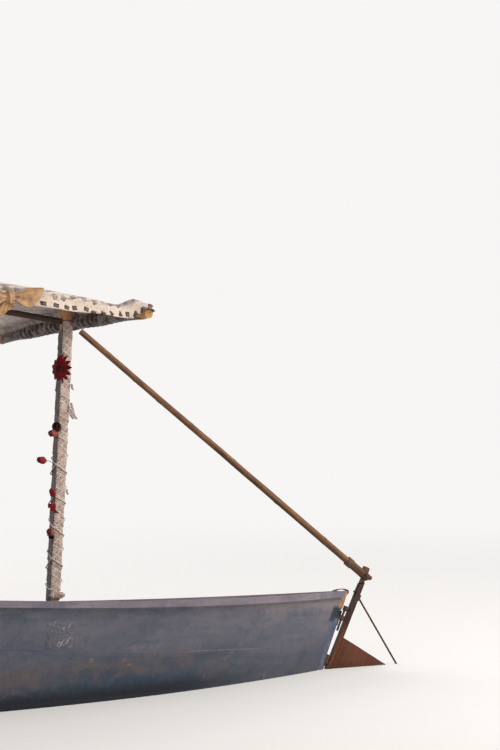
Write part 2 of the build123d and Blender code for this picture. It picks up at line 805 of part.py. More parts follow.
def rudder_stock():
    """Square stock from under the tiller down to the blade's foot, scored for the irons."""
    scores = score(UPPER_EYE_Z, UPPER_PIN_REACH, UPPER_LUG_GAP) + score(LOWER_EYE_Z, LOWER_PIN_REACH, FIT)
    return stock_plate(0, STOCK_FOOT_Z, STOCK_TOP_Z) - tongue(FIT) - scores


def rudder_blade():
    """Plank blade behind the stock, widest at the tip that the stay holds."""
    reach = (STOCK_DEPTH / 2 + FIT) * (1 + STOCK_SLOPE**2) ** 0.5
    root_z = BLADE_TOP_Z - reach * 0.6
    foot_z = STOCK_FOOT_Z
    points = [
        (stock_x(root_z) - reach, root_z),
        (BLADE_TIP_X, BLADE_TIP_Z),
        (BLADE_FOOT_X, BLADE_FOOT_Z),
        (stock_x(foot_z) - reach, foot_z),
    ]
    return side_plate(points, BLADE_THICK)


def stay_rod():
    """Thin iron rod from the stock down to a foot on the blade's top edge."""
    half = (STOCK_DEPTH / 2 + FIT) * (1 + STOCK_SLOPE**2) ** 0.5
    top = (stock_x(STAY_TOP_Z) - half - STAY_RADIUS, 0, STAY_TOP_Z)
    root_z = BLADE_TOP_Z - half * 0.6
    root_x = stock_x(root_z) - half
    edge_slope = (root_z - BLADE_TIP_Z) / (root_x - BLADE_TIP_X)
    foot_z = BLADE_TIP_Z + edge_slope * (STAY_FOOT_X - BLADE_TIP_X)
    foot = (STAY_FOOT_X, 0, foot_z + STAY_RADIUS + FIT)
    bar = rod(top, foot, STAY_RADIUS)
    half_pad = 3 * STAY_RADIUS
    pad = side_plate(
        [
            (STAY_FOOT_X - half_pad, foot_z - edge_slope * half_pad + FIT),
            (STAY_FOOT_X + half_pad, foot_z + edge_slope * half_pad + FIT),
            (STAY_FOOT_X + half_pad, foot_z + edge_slope * half_pad + FIT + IRON),
            (STAY_FOOT_X - half_pad, foot_z - edge_slope * half_pad + FIT + IRON),
        ],
        BLADE_THICK - 2 * IRON,
    )
    eye_low = STAY_TOP_Z - 3 * STAY_RADIUS
    eye_high = STAY_TOP_Z + 3 * STAY_RADIUS
    boss = side_plate(
        [
            (stock_x(eye_low) - half - 2 * STAY_RADIUS, eye_low),
            (stock_x(eye_high) - half - 2 * STAY_RADIUS, eye_high),
            (stock_x(eye_high) - half, eye_high),
            (stock_x(eye_low) - half, eye_low),
        ],
        4 * STAY_RADIUS,
    )
    return bar + pad + boss


def tiller_point(reach, rise=0.0):
    """Point measured from the pin along the tiller's centreline and square above it."""
    length = (1 + TILLER_SLOPE**2) ** 0.5
    x = PIN_X + (reach - rise * TILLER_SLOPE) / length
    return (x, 0, PIN_Z + (reach * TILLER_SLOPE + rise) / length)


def tiller_sleeve():
    """Forked socket with a stepped heel, which straddles the tongue and holds the pole's butt."""
    body = rod(tiller_point(-SLEEVE_TAIL), tiller_point(SLEEVE_LENGTH), SLEEVE_RADIUS)
    body += rod(tiller_point(-HEEL_REACH, HEEL_RISE), tiller_point(0, HEEL_RISE), HEEL_RADIUS)
    bore = rod(tiller_point(FORK_DEPTH + IRON), tiller_point(SLEEVE_LENGTH + 1), TILLER_BUTT_RADIUS)
    along = Plane(origin=Vector(*tiller_point(0)), x_dir=(0, 1, 0), z_dir=Vector(1, 0, TILLER_SLOPE))
    slot_length = HEEL_REACH + SLEEVE_TAIL + FORK_DEPTH
    slot_width = TONGUE_THICK + 2 * FORK_CLEAR
    slot = Box(slot_width, 4 * SLEEVE_RADIUS, slot_length, align=(Align.CENTER, Align.CENTER, Align.MAX))
    slot = along * (Pos(0, 0, FORK_DEPTH) * slot)
    pin_room = rod((PIN_X, -HUGE, PIN_Z), (PIN_X, HUGE, PIN_Z), PIN_RADIUS + PINTLE_CLEAR)
    return body - bore - slot - pin_room


def tiller_pole():
    """Long tapering pole from the sleeve up to its tip."""
    start = Vector(*tiller_point(FORK_DEPTH + IRON))
    end = Vector(*tiller_point(TILLER_REACH))
    along = Plane(origin=start, z_dir=(end - start))
    length = (end - start).length
    low = (Align.CENTER, Align.CENTER, Align.MIN)
    socket = SLEEVE_LENGTH - FORK_DEPTH - IRON
    butt = along * Cylinder(TILLER_BUTT_RADIUS, socket, align=low)
    taper = Cone(TILLER_BUTT_RADIUS, TILLER_TIP_RADIUS, length - socket, align=low)
    return butt + along * (Pos(0, 0, socket) * taper)


def tiller_pin():
    """Pin through the fork and the tongue, with a round head on each end."""
    half = SLEEVE_RADIUS + 3 * IRON
    pin = rod((PIN_X, -half, PIN_Z), (PIN_X, half, PIN_Z), PIN_RADIUS)
    for side in (-1, 1):
        start = (PIN_X, side * (SLEEVE_RADIUS + FIT), PIN_Z)
        end = (PIN_X, side * (SLEEVE_RADIUS + IRON), PIN_Z)
        pin += rod(start, end, 2 * PIN_RADIUS)
    return pin


def build_all():
    """Build every node of the boat."""
    lining = hull_body(PLANK + FIT)
    inner = hull_body(PLANK + FIT + RIB_DEPTH)
    inner_clear = hull_body(PLANK + FIT + RIB_DEPTH + FIT)
    aft_post = leaning_post(0, post_foot(), AFT_POST_TOP_Z)
    fore_post = upright_post(0, post_foot(), fore_post_top())
    post_room = leaning_post(FIT, post_foot(), AFT_POST_TOP_Z) + upright_post(FIT, post_foot(), fore_post_top())
    aft_hook, fore_hook = breasthooks(lining)
    nodes = {
        "sternpost": sternpost(),
        "keel": keel(),
        "stem": stem(),
        "ribs": ribs(lining, inner),
        "inwales": inwales(lining),
        "rub_rails": rub_rails(),
        "thwart_risers": thwart_risers(inner_clear),
        "thwarts": thwarts(inner_clear, post_room),
        "aft_breasthook": aft_hook,
        "fore_breasthook": fore_hook,
        "floor_bearers": floor_bearers(inner_clear),
        "floorboards": floorboards(),
        "post_steps": post_steps(),
        "aft_post": aft_post,
        "fore_post": fore_post,
        "aft_crossbar": crossbar(aft_bar_x(), AFT_BAR_Z),
        "fore_crossbar": crossbar(fore_bar_x(), fore_bar_z()),
        "ridge_pole": ridge_pole(),
        "canopy": canopy(),
        "scarf_bow": scarf_bow(),
        "post_wrap": post_wrap(),
        "flowers": flowers(),
        "sternhead_strap": sternhead_strap(),
        "upper_gudgeon": gudgeon(UPPER_EYE_Z),
        "lower_gudgeon": gudgeon(LOWER_EYE_Z),
        "upper_pintle": pintle(UPPER_EYE_Z, UPPER_PIN_REACH, UPPER_LUG_GAP),
        "lower_pintle": pintle(LOWER_EYE_Z, LOWER_PIN_REACH, FIT),
        "rudder_stock": rudder_stock(),
        "rudder_head": rudder_head(),
        "rudder_blade": rudder_blade(),
        "stay_rod": stay_rod(),
        "tiller_sleeve": tiller_sleeve(),
        "tiller_pole": tiller_pole(),
        "tiller_pin": tiller_pin(),
    }
    nodes.update(planking())
    return nodes


os.makedirs("parts", exist_ok=True)
for name, shape in build_all().items():
    export_step(shape, "parts/" + name + ".step")
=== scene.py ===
"""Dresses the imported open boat: painted planking, awning, flowers, raked rudder and tiller pole."""

import logging
import math
from dataclasses import dataclass, field, replace
from enum import Enum
from functools import cached_property
from typing import Callable, Iterable

import bmesh
import bpy
from mathutils import Matrix, Vector, noise
from mathutils.bvhtree import BVHTree


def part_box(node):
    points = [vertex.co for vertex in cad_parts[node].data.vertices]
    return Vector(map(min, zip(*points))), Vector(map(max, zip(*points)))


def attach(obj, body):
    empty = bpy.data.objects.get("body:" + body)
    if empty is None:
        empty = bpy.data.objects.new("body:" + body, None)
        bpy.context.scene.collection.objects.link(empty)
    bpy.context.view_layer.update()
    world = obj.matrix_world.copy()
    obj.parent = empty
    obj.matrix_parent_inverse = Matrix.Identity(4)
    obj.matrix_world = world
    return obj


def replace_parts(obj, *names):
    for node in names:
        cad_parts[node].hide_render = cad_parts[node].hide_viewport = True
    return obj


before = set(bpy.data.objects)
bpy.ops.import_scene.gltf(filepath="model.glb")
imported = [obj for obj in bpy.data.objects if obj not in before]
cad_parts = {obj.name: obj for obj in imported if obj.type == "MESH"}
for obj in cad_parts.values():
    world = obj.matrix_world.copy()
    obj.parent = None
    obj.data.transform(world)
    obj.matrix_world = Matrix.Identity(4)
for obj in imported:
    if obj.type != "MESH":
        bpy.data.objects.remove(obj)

LOG = logging.getLogger("boat")
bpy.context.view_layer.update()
Colour = tuple[float, float, float]

BLACK: Colour = (0.0, 0.0, 0.0)
# Rise of the waterline's plane for each metre of beam
HEEL = 0.0917
# Middle of the after post's foot, and how far it leans aft for each metre up
POST_FOOT_X, POST_FOOT_Z, POST_LEAN = -1.222, 0.445, 0.0945
# Rudder stock and the planks' after edge at a height of 0, and how far each rakes aft for each metre up
STOCK_X, STOCK_LEAN = -2.795, 0.53
STERN_X, STERN_RAKE = -2.715, 0.46
SIDES = (1, -1)
GOLDEN_ANGLE = 2.39996


class Body(str, Enum):
    """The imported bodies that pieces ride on."""

    HULL = "hull"
    RUDDER = "rudder"
    TILLER = "tiller"


# Shader helpers


def operator(operation: str) -> Callable[..., "Sock"]:
    """Make a method of Sock.

    Args:
        operation: the Math node's operation.

    Returns:
        The method, which takes the further operands.
    """
    return lambda sock, *others: sock._math(operation, *others)


class Sock:
    """One output socket or number, with the operators that shader maths uses."""

    def __init__(self, graph: "Graph", link: object) -> None:
        """Wrap a socket or a number of a graph."""
        self.graph = graph
        self.link = link

    def _math(self, operation: str, *others: object, clamp: bool = False) -> "Sock":
        """Add a Math node.

        Args:
            operation: the Math node's operation.
            others: the further operands, sockets or numbers.
            clamp: whether the result is kept from 0 to 1.

        Returns:
            The node's result.
        """
        values = {i: o for i, o in enumerate((self, *others))}
        return self.graph.add("Math", {"operation": operation, "use_clamp": clamp}, values)

    def __rsub__(self, other: float) -> "Sock":
        """A number less this."""
        return Sock(self.graph, other)._math("SUBTRACT", self)

    __add__ = __radd__ = operator("ADD")
    __sub__ = operator("SUBTRACT")
    __mul__ = __rmul__ = operator("MULTIPLY")
    __truediv__ = operator("DIVIDE")
    __pow__ = operator("POWER")
    low = operator("MINIMUM")
    high = operator("MAXIMUM")
    magnitude = operator("ABSOLUTE")
    sine = operator("SINE")
    floor = operator("FLOOR")

    def clamp(self) -> "Sock":
        """Kept from 0 to 1."""
        return self._math("ADD", 0.0, clamp=True)

    def step(self, start: float, end: float) -> "Sock":
        """Smooth rise from 0 at start to 1 at end, or a fall where end is lower.

        Args:
            start: the value where the result is 0.
            end: the value where the result is 1.

        Returns:
            The smoothed share.
        """
        flip = end < start
        values = {
            0: self, 1: min(start, end), 2: max(start, end), 3: 1.0 if flip else 0.0, 4: 0.0 if flip else 1.0
        }
        return self.graph.add("MapRange", {"interpolation_type": "SMOOTHSTEP"}, values)


class Graph:
    """The node tree of a new material or world, with one method that adds any node."""

    def __init__(
        self, owner: bpy.types.ID, shader: str = "BsdfPrincipled", output: str = "OutputMaterial"
    ) -> None:
        """Clear the tree and start it with a shader.

        Args:
            owner: the material or world.
            shader: the shader node's type.
            output: the output node's type.
        """
        owner.use_nodes = True
        self.tree = owner.node_tree
        self.tree.nodes.clear()
        self.shader = self.tree.nodes.new("ShaderNode" + shader)
        self.tree.links.new(self.shader.outputs[0], self.tree.nodes.new("ShaderNode" + output).inputs[0])

    def add(
        self, kind: str, settings: dict | None = None, values: dict | None = None, out: object = 0
    ) -> Sock:
        """Add a node.

        Args:
            kind: the node's type, without ShaderNode.
            settings: properties that are set first.
            values: value or link of each input, by name or index.
            out: name or index of the output that is returned.

        Returns:
            The chosen output.
        """
        node = self.tree.nodes.new("ShaderNode" + kind)
        for key, value in (settings or {}).items():
            setattr(node, key, value)
        for key, value in (values or {}).items():
            self.feed(node.inputs[key], value)
        return Sock(self, node.outputs[out])

    def feed(self, socket: bpy.types.NodeSocket, value: object) -> None:
        """Link or set one input.

        Args:
            socket: the input.
            value: a Sock, number, colour or vector.
        """
        value = value.link if isinstance(value, Sock) else value
        if isinstance(value, bpy.types.NodeSocket):
            self.tree.links.new(value, socket)
        elif isinstance(value, (tuple, list)) and socket.type == "RGBA" and len(value) == 3:
            socket.default_value = (*value, 1.0)
        else:
            socket.default_value = value

    def place(self, stretch: Colour = (1, 1, 1), turn: Colour = (0, 0, 0), uv: bool = False) -> Sock:
        """Object or UV coordinates, stretched and turned.

        Args:
            stretch: scale along each axis.
            turn: rotation in radians.
            uv: whether the piece's UV map is read.

        Returns:
            The mapped vector.
        """
        source = self.add("TexCoord", out="UV" if uv else "Object")
        turned = self.add("Mapping", None, {"Vector": source, "Rotation": turn}) if any(turn) else source
        return self.add("Mapping", None, {"Vector": turned, "Scale": stretch})

    def axis(self, index: int, vector: Sock | None = None) -> Sock:
        """One coordinate of a vector, by default of the object's place."""
        vector = vector or self.add("TexCoord", out="Object")
        return self.add("SeparateXYZ", None, {0: vector}, out=index)

    def noise(
        self, vector: Sock, scale: float, detail: float = 4.0, rough: float = 0.55, bend: float = 0.0
    ) -> Sock:
        """Noise from 0 to 1.

        Args:
            vector: where it is read.
            scale: its scale.
            detail: its octaves.
            rough: how strong the fine octaves are.
            bend: its distortion.

        Returns:
            The noise factor.
        """
        values = {"Vector": vector, "Scale": scale, "Detail": detail, "Roughness": rough, "Distortion": bend}
        return self.add("TexNoise", None, values)

    def cells(
        self,
        vector: Sock,
        scale: float,
        feature: str = "F1",
        out: str = "Distance",
        jitter: float = 1.0,
        flat: bool = False,
    ) -> Sock:
        """Voronoi cells.

        Args:
            vector: where they are read.
            scale: their scale.
            feature: F1 or DISTANCE_TO_EDGE.
            out: Distance, Color or Position.
            jitter: how irregular they are.
            flat: whether only the vector's X and Y count.

        Returns:
            The chosen output.
        """
        values = {"Vector": vector, "Scale": scale, "Randomness": jitter}
        settings = {"feature": feature, "voronoi_dimensions": "2D" if flat else "3D"}
        return self.add("TexVoronoi", settings, values, out=out)

    def mix(self, share: object, a: object, b: object) -> Sock:
        """Blend two colours.

        Args:
            share: how much of b, from 0 to 1.
            a: the colour at 0.
            b: the colour at 1.

        Returns:
            The blended colour.
        """
        return self.add("Mix", {"data_type": "RGBA"}, {0: share, 6: a, 7: b}, out=2)

    def coats(self, colour: object, *layers: tuple[object, object]) -> Sock:
        """Lay colours over one another.

        Args:
            colour: the ground.
            layers: how much each coat covers and its colour, from the lowest up.

        Returns:
            The blended colour.
        """
        for share, tone in layers:
            colour = self.mix(share, colour, tone)
        return colour

    def tint(self, colour: Sock, share: object) -> Sock:
        """Darken a colour by a share from 0 to 1."""
        return self.mix(share, colour, BLACK)

    def bump(self, height: Sock, strength: float, distance: float) -> Sock:
        """Bump normal from a height.

        Args:
            height: the height field.
            strength: from 0 to 1.
            distance: the height of 1, in metres.

        Returns:
            The normal.
        """
        return self.add("Bump", None, {"Height": height, "Strength": strength, "Distance": distance})

    def finish(self, colour: object, rough: object, normal: Sock | None = None, **fixed: object) -> None:
        """Feed the shader.

        Args:
            colour: the base colour.
            rough: the roughness.
            normal: the normal, if any.
            fixed: other shader sockets by name, with underscores for spaces.
        """
        if normal:
            fixed["Normal"] = normal
        for key, value in {"Base_Color": colour, "Roughness": rough, **fixed}.items():
            self.feed(self.shader.inputs[key.replace("_", " ")], value)


# Finishes


@dataclass(frozen=True)
class Finish:
    """A look, drawn into a material the first time it is asked for."""

    name: str

    @cached_property
    def material(self) -> bpy.types.Material:
        """Build the material once.

        Returns:
            The finished material.
        """
        made = bpy.data.materials.new(self.name)
        self.draw(Graph(made))
        return made

    def draw(self, g: Graph) -> None:
        """Draw the look."""
        raise NotImplementedError


@dataclass(frozen=True)
class OldPaint(Finish):
    """Chalky boat paint: runs, clouds, scuffs, brown stains, a seam with a painted highlight above it and
    painted shade below it, a dark foot that is partly damp paint and partly painted shade, creases on a
    patch.
    """

    base: Colour
    chalk: Colour
    deep: Colour
    wood: Colour = (0.16, 0.10, 0.06)
    wear: float = 0.5
    foot: float = 0.0
    creases: float = 0.0
    rough: float = 0.62

    def below(self, g: Graph, colour: Sock, fine: Sock, patches: Sock, runs: Sock) -> Sock:
        """Brown stains, a notch painted near-black as shade, blue flecks, the teal band and the dark foot,
        which is partly damp paint and partly painted shade.

        Args:
            g: the graph.
            colour: the paint above.
            fine: fine noise.
            patches: middling noise.
            runs: noise drawn out downwards.

        Returns:
            The colour with its lower parts.
        """
        x, z = g.axis(0), g.axis(2)
        wet = z + g.axis(1) * HEEL
        ragged = (runs - 0.5) * 0.12 + (patches - 0.5) * 0.08
        middle = (x + 2.35).step(0.0, 0.8)
        # Painted shade, partly damp paint: the hull darkens towards the waterline.
        lower = (wet + ragged * 0.8).step(0.27, 0.13)
        colour = g.mix(lower * (0.30 + 0.25 * middle) * self.foot, colour, g.tint(self.deep, 0.45))
        damp = wet + ragged
        stain = damp.step(0.25, 0.19) * damp.step(0.07, 0.13) * patches.step(0.42, 0.60) * middle
        colour = g.mix(stain * (0.40 + (fine - 0.5) * 0.8).clamp() * self.foot, colour, (0.118, 0.084, 0.070))
        stern = x + z * STERN_RAKE - STERN_X
        # Painted shade: the hollow of a worn notch at the planks' after edge is painted near-black.
        notch = stern.step(0.064, 0.034) * (z + (fine - 0.5) * 0.03 - 0.288).magnitude().step(0.048, 0.030)
        colour = g.mix(notch * 0.96 * self.foot, colour, (0.012, 0.022, 0.034))
        flaked = (stern + (patches - 0.5) * 0.10).step(0.048, 0.014)
        fleck = flaked * fine.step(0.46, 0.58) * z.step(0.29, 0.24)
        colour = g.mix(fleck * 0.65 * self.foot, colour, (0.036, 0.078, 0.190))
        teal = (wet + ragged * 0.5).step(0.135, 0.085) * patches.step(0.60, 0.44) * middle
        colour = g.mix(teal * 0.65 * self.foot, colour, (0.020, 0.052, 0.082))
        # The near-black foot along the waterline is partly damp paint and partly painted shade.
        foot = (wet + ragged * 0.45).step(0.115, 0.030) * (0.25 + 0.75 * middle)
        return g.mix(foot * 0.95 * self.foot, colour, (0.008, 0.010, 0.016))

    def draw(self, g: Graph) -> None:
        """Draw the look.

        Args:
            g: the material's graph.
        """
        x, z = g.axis(0), g.axis(2)
        runs = g.noise(g.place((34, 34, 4.5)), 1.6, 7, 0.66, 0.3)
        broad = g.noise(g.place((1.1, 1.1, 5)), 1.7, 5, 0.62, 0.6)
        clouds = g.noise(g.place((1, 1, 2.6)), 2.4, 6, 0.66, 0.5)
        patches = g.noise(g.place((1, 1, 1.4)), 6.5, 6, 0.65, 0.6)
        mottle = g.noise(g.place((1, 1, 1.6)), 17, 6, 0.70, 0.4)
        fine = g.noise(g.place((1, 1, 0.45)), 60, 5, 0.7)
        grain = g.noise(g.place((1.2, 14, 14)), 9, 4, 0.6)
        colour = g.coats(
            self.base,
            (broad.step(0.40, 0.68) * 0.55, self.chalk),
            (clouds.step(0.48, 0.66) * 0.70, self.deep),
            (runs.step(0.50, 0.74) * 0.26, self.chalk),
            (runs.step(0.46, 0.28) * 0.26, self.deep),
            (mottle.step(0.52, 0.66) * 0.34, (0.150, 0.124, 0.112)),
            (mottle.step(0.46, 0.34) * 0.30, g.tint(self.deep, 0.25)),
            (fine.step(0.58, 0.78) * 0.30, self.chalk),
            (fine.step(0.40, 0.24) * 0.35, g.tint(self.deep, 0.4)),
        )
        scuff = patches.step(0.60, 0.70) * fine.step(0.40, 0.62)
        chips = patches.step(0.655, 0.675) * fine.step(0.44, 0.50) * self.wear
        height = grain * 0.30 + fine * 0.45 + patches * 0.3 + runs * 0.25 - chips * 0.9
        if self.foot:
            over = z - seam_z(x) + (fine - 0.5) * 0.005
            upper = (over + (runs - 0.5) * 0.06).step(0.19, 0.27)
            # Painted shade: a darker band just under the plank seam.
            below = (over + 0.045 + (runs - 0.5) * 0.05).step(0.005, 0.035)
            colour = g.coats(
                colour,
                (upper * broad.step(0.35, 0.60) * 0.55, (0.275, 0.215, 0.205)),
                (below * over.step(0.004, -0.004) * 0.35, self.deep),
            )
            # Painted highlight: a light line along the plank edge just above the seam, on the after part of
            # the hull.
            rub = (z - x * 0.0362 - 0.2258 + (fine - 0.5) * 0.005).magnitude().step(0.0050, 0.0014)
            rub = rub * (x + 1.55).step(-0.10, -0.25) * (x + 2.22).step(-0.06, 0.08) * runs.step(0.32, 0.52)
            colour = g.mix(rub * 0.30, colour, (0.32, 0.30, 0.30))
            colour = self.below(g, colour, fine, patches, runs)
            height = height - over.magnitude().step(0.007, 0.001) * 0.4
        colour = g.coats(
            colour,
            (chips, g.mix(grain, self.wood, (0.34, 0.22, 0.13))),
            (scuff * 0.20, self.chalk),
        )
        if self.creases:
            slant = g.noise(g.place((75, 1, 17), (0, 0.5, 0)), 1.0, 3, 0.5, 0.5)
            ridge = slant.step(0.56, 0.66) * mottle.step(0.46, 0.56)
            colour = g.mix(ridge * self.creases, colour, (0.34, 0.32, 0.35))
            height = height + ridge
        rough = self.rough + (fine - 0.5) * 0.3 + chips * 0.2
        g.finish(colour, rough, g.bump(height, 0.55, 0.0035), Specular_IOR_Level=0.28)


@dataclass(frozen=True)
class WornStern(Finish):
    """Sternpost: raw weathered wood at its head, a worn notch painted near-black as shade, flaking hull paint
    below.
    """

    paint: Colour
    chalk: Colour
    fleck: Colour
    bare_z: float = 0.325
    notch_z: float = 0.288

    def draw(self, g: Graph) -> None:
        """Draw the look.

        Args:
            g: the material's graph.
        """
        z = g.axis(2)
        fibre = g.noise(g.place((16, 16, 1)), 7, 7, 0.62, 0.5)
        fine = g.noise(g.place((1, 1, 0.5)), 70, 5, 0.7)
        patches = g.noise(g.place(), 16, 5, 0.65, 0.5)
        wood = g.mix(fibre.step(0.30, 0.70), (0.20, 0.092, 0.036), (0.50, 0.265, 0.115))
        wood = g.mix(patches.step(0.55, 0.72) * 0.5, wood, (0.42, 0.33, 0.26))
        coat = g.mix(fine.step(0.40, 0.70), self.paint, self.chalk)
        coat = g.mix(patches.step(0.50, 0.62) * fine.step(0.36, 0.56), coat, self.fleck)
        edge = z + (fibre - 0.5) * 0.10 + (patches - 0.5) * 0.10
        painted = edge.step(self.bare_z, self.bare_z - 0.03)
        colour = g.coats(
            wood,
            (painted, coat),
            (patches.step(0.66, 0.70) * 0.8 * painted, wood),
        )
        # Painted shade: the worn notch's hollow is painted near-black, flecked with maroon.
        notch = (z - self.notch_z + (patches - 0.5) * 0.03).magnitude().step(0.036, 0.018)
        notch_shade = g.mix(fine.step(0.55, 0.65), (0.010, 0.018, 0.026), (0.095, 0.012, 0.022))
        colour = g.mix(notch * 0.92, colour, notch_shade)
        height = fibre * 0.7 + fine * 0.35 + painted * 0.4
        g.finish(colour, 0.72, g.bump(height, 0.55, 0.0025), Specular_IOR_Level=0.28)


@dataclass(frozen=True)
class Timber(Finish):
    """Bare or stained wood with grain along one axis, checks and stains."""

    light: Colour
    dark: Colour
    grain: Colour = (1, 16, 16)
    turn: Colour = (0, 0, 0)
    grime: float = 0.4
    paint: Colour | None = None
    paint_share: float = 0.0
    rough: float = 0.7

    def draw(self, g: Graph) -> None:
        """Draw the look.

        Args:
            g: the material's graph.
        """
        place = g.place(self.grain, self.turn)
        fibre = g.noise(place, 7, 7, 0.62, 0.5)
        bands = g.noise(place, 1.7, 3, 0.5, 1.2)
        fine = g.noise(place, 38, 4, 0.6)
        stain = g.noise(g.place(), 6, 5, 0.6, 0.5)
        specks = g.noise(g.place(), 60, 3, 0.6)
        colour = g.coats(
            self.dark,
            (fibre.step(0.30, 0.70), self.light),
            (bands.step(0.45, 0.75) * 0.5, self.dark),
        )
        checks = fibre.step(0.335, 0.30)
        colour = g.coats(
            colour,
            (checks * 0.7, BLACK),
            (stain.step(0.50, 0.72) * self.grime, g.tint(g.mix(0.5, self.dark, (0.05, 0.04, 0.035)), 0.35)),
        )
        height = fibre * 0.7 + fine * 0.35 - checks * 0.8
        if self.paint:
            bare = 0.70 - self.paint_share * 0.4
            held = (stain * 0.6 + specks * 0.4 + fibre * 0.25).step(bare, bare + 0.03)
            colour = g.mix(held, colour, self.paint)
            height = height + held * 0.5
        rough = self.rough + (fine - 0.5) * 0.25
        g.finish(colour, rough, g.bump(height, 0.5, 0.0022), Specular_IOR_Level=0.3)


@dataclass(frozen=True)
class RudderWood(Finish):
    """Reddish wood of the rudder: painted shade on the fore face, a dark top edge, grey streaks up high, wet
    foot and tip.
    """

    light: Colour
    dark: Colour

    def draw(self, g: Graph) -> None:
        """Draw the look.

        Args:
            g: the material's graph.
        """
        x, z = g.axis(0), g.axis(2)
        place = g.place((12, 12, 1), (0, 0.5, 0))
        fibre = g.noise(place, 6, 7, 0.62, 0.5)
        fine = g.noise(place, 40, 4, 0.6)
        stain = g.noise(g.place(), 9, 5, 0.6, 0.5)
        colour = g.coats(
            self.dark,
            (fibre.step(0.28, 0.68), self.light),
            (stain.step(0.45, 0.70) * 0.45, self.dark),
        )
        grey = z.step(0.22, 0.32) * fibre.step(0.44, 0.58)
        colour = g.mix(grey * 0.55, colour, (0.105, 0.080, 0.070))
        # Painted shade: the stock's fore face is darkened.
        fore = (x + z * STOCK_LEAN - STOCK_X).step(0.0120, 0.0150)
        colour = g.tint(colour, fore * 0.62)
        under = (x + 3.285) * 0.617 - z - 0.080
        edge = under.step(0.010, 0.002) * x.step(-2.890, -2.925)
        foot = (z + (stain - 0.5) * 0.08).step(0.055, -0.030)
        colour = g.tint(colour, edge.high(foot) * 0.55)
        tip = (x + z * 0.4 + (stain - 0.5) * 0.08).step(-3.08, -3.17)
        colour = g.mix(tip * 0.65, colour, (0.046, 0.044, 0.056))
        height = fibre * 0.7 + fine * 0.4
        g.finish(colour, 0.68 - foot * 0.15, g.bump(height, 0.5, 0.002), Specular_IOR_Level=0.2)


@dataclass(frozen=True)
class RustedIron(Finish):
    """Black iron with flaking rust."""

    dark: Colour = (0.035, 0.026, 0.022)
    rust: Colour = (0.125, 0.048, 0.024)

    def draw(self, g: Graph) -> None:
        """Draw the look.

        Args:
            g: the material's graph.
        """
        broad = g.noise(g.place(), 35, 6, 0.65, 0.4)
        pits = g.noise(g.place(), 260, 5, 0.7)
        flakes = g.cells(g.place(), 120)
        colour = g.coats(
            self.dark,
            ((broad + (pits - 0.5) * 0.5).step(0.40, 0.62), self.rust),
            (flakes.step(0.55, 0.8) * 0.5, (0.19, 0.080, 0.036)),
        )
        rough = 0.62 + pits * 0.3
        height = pits * 0.6 + flakes * 0.4 + broad * 0.4
        g.finish(colour, rough, g.bump(height, 0.6, 0.0012), Metallic=0.35)


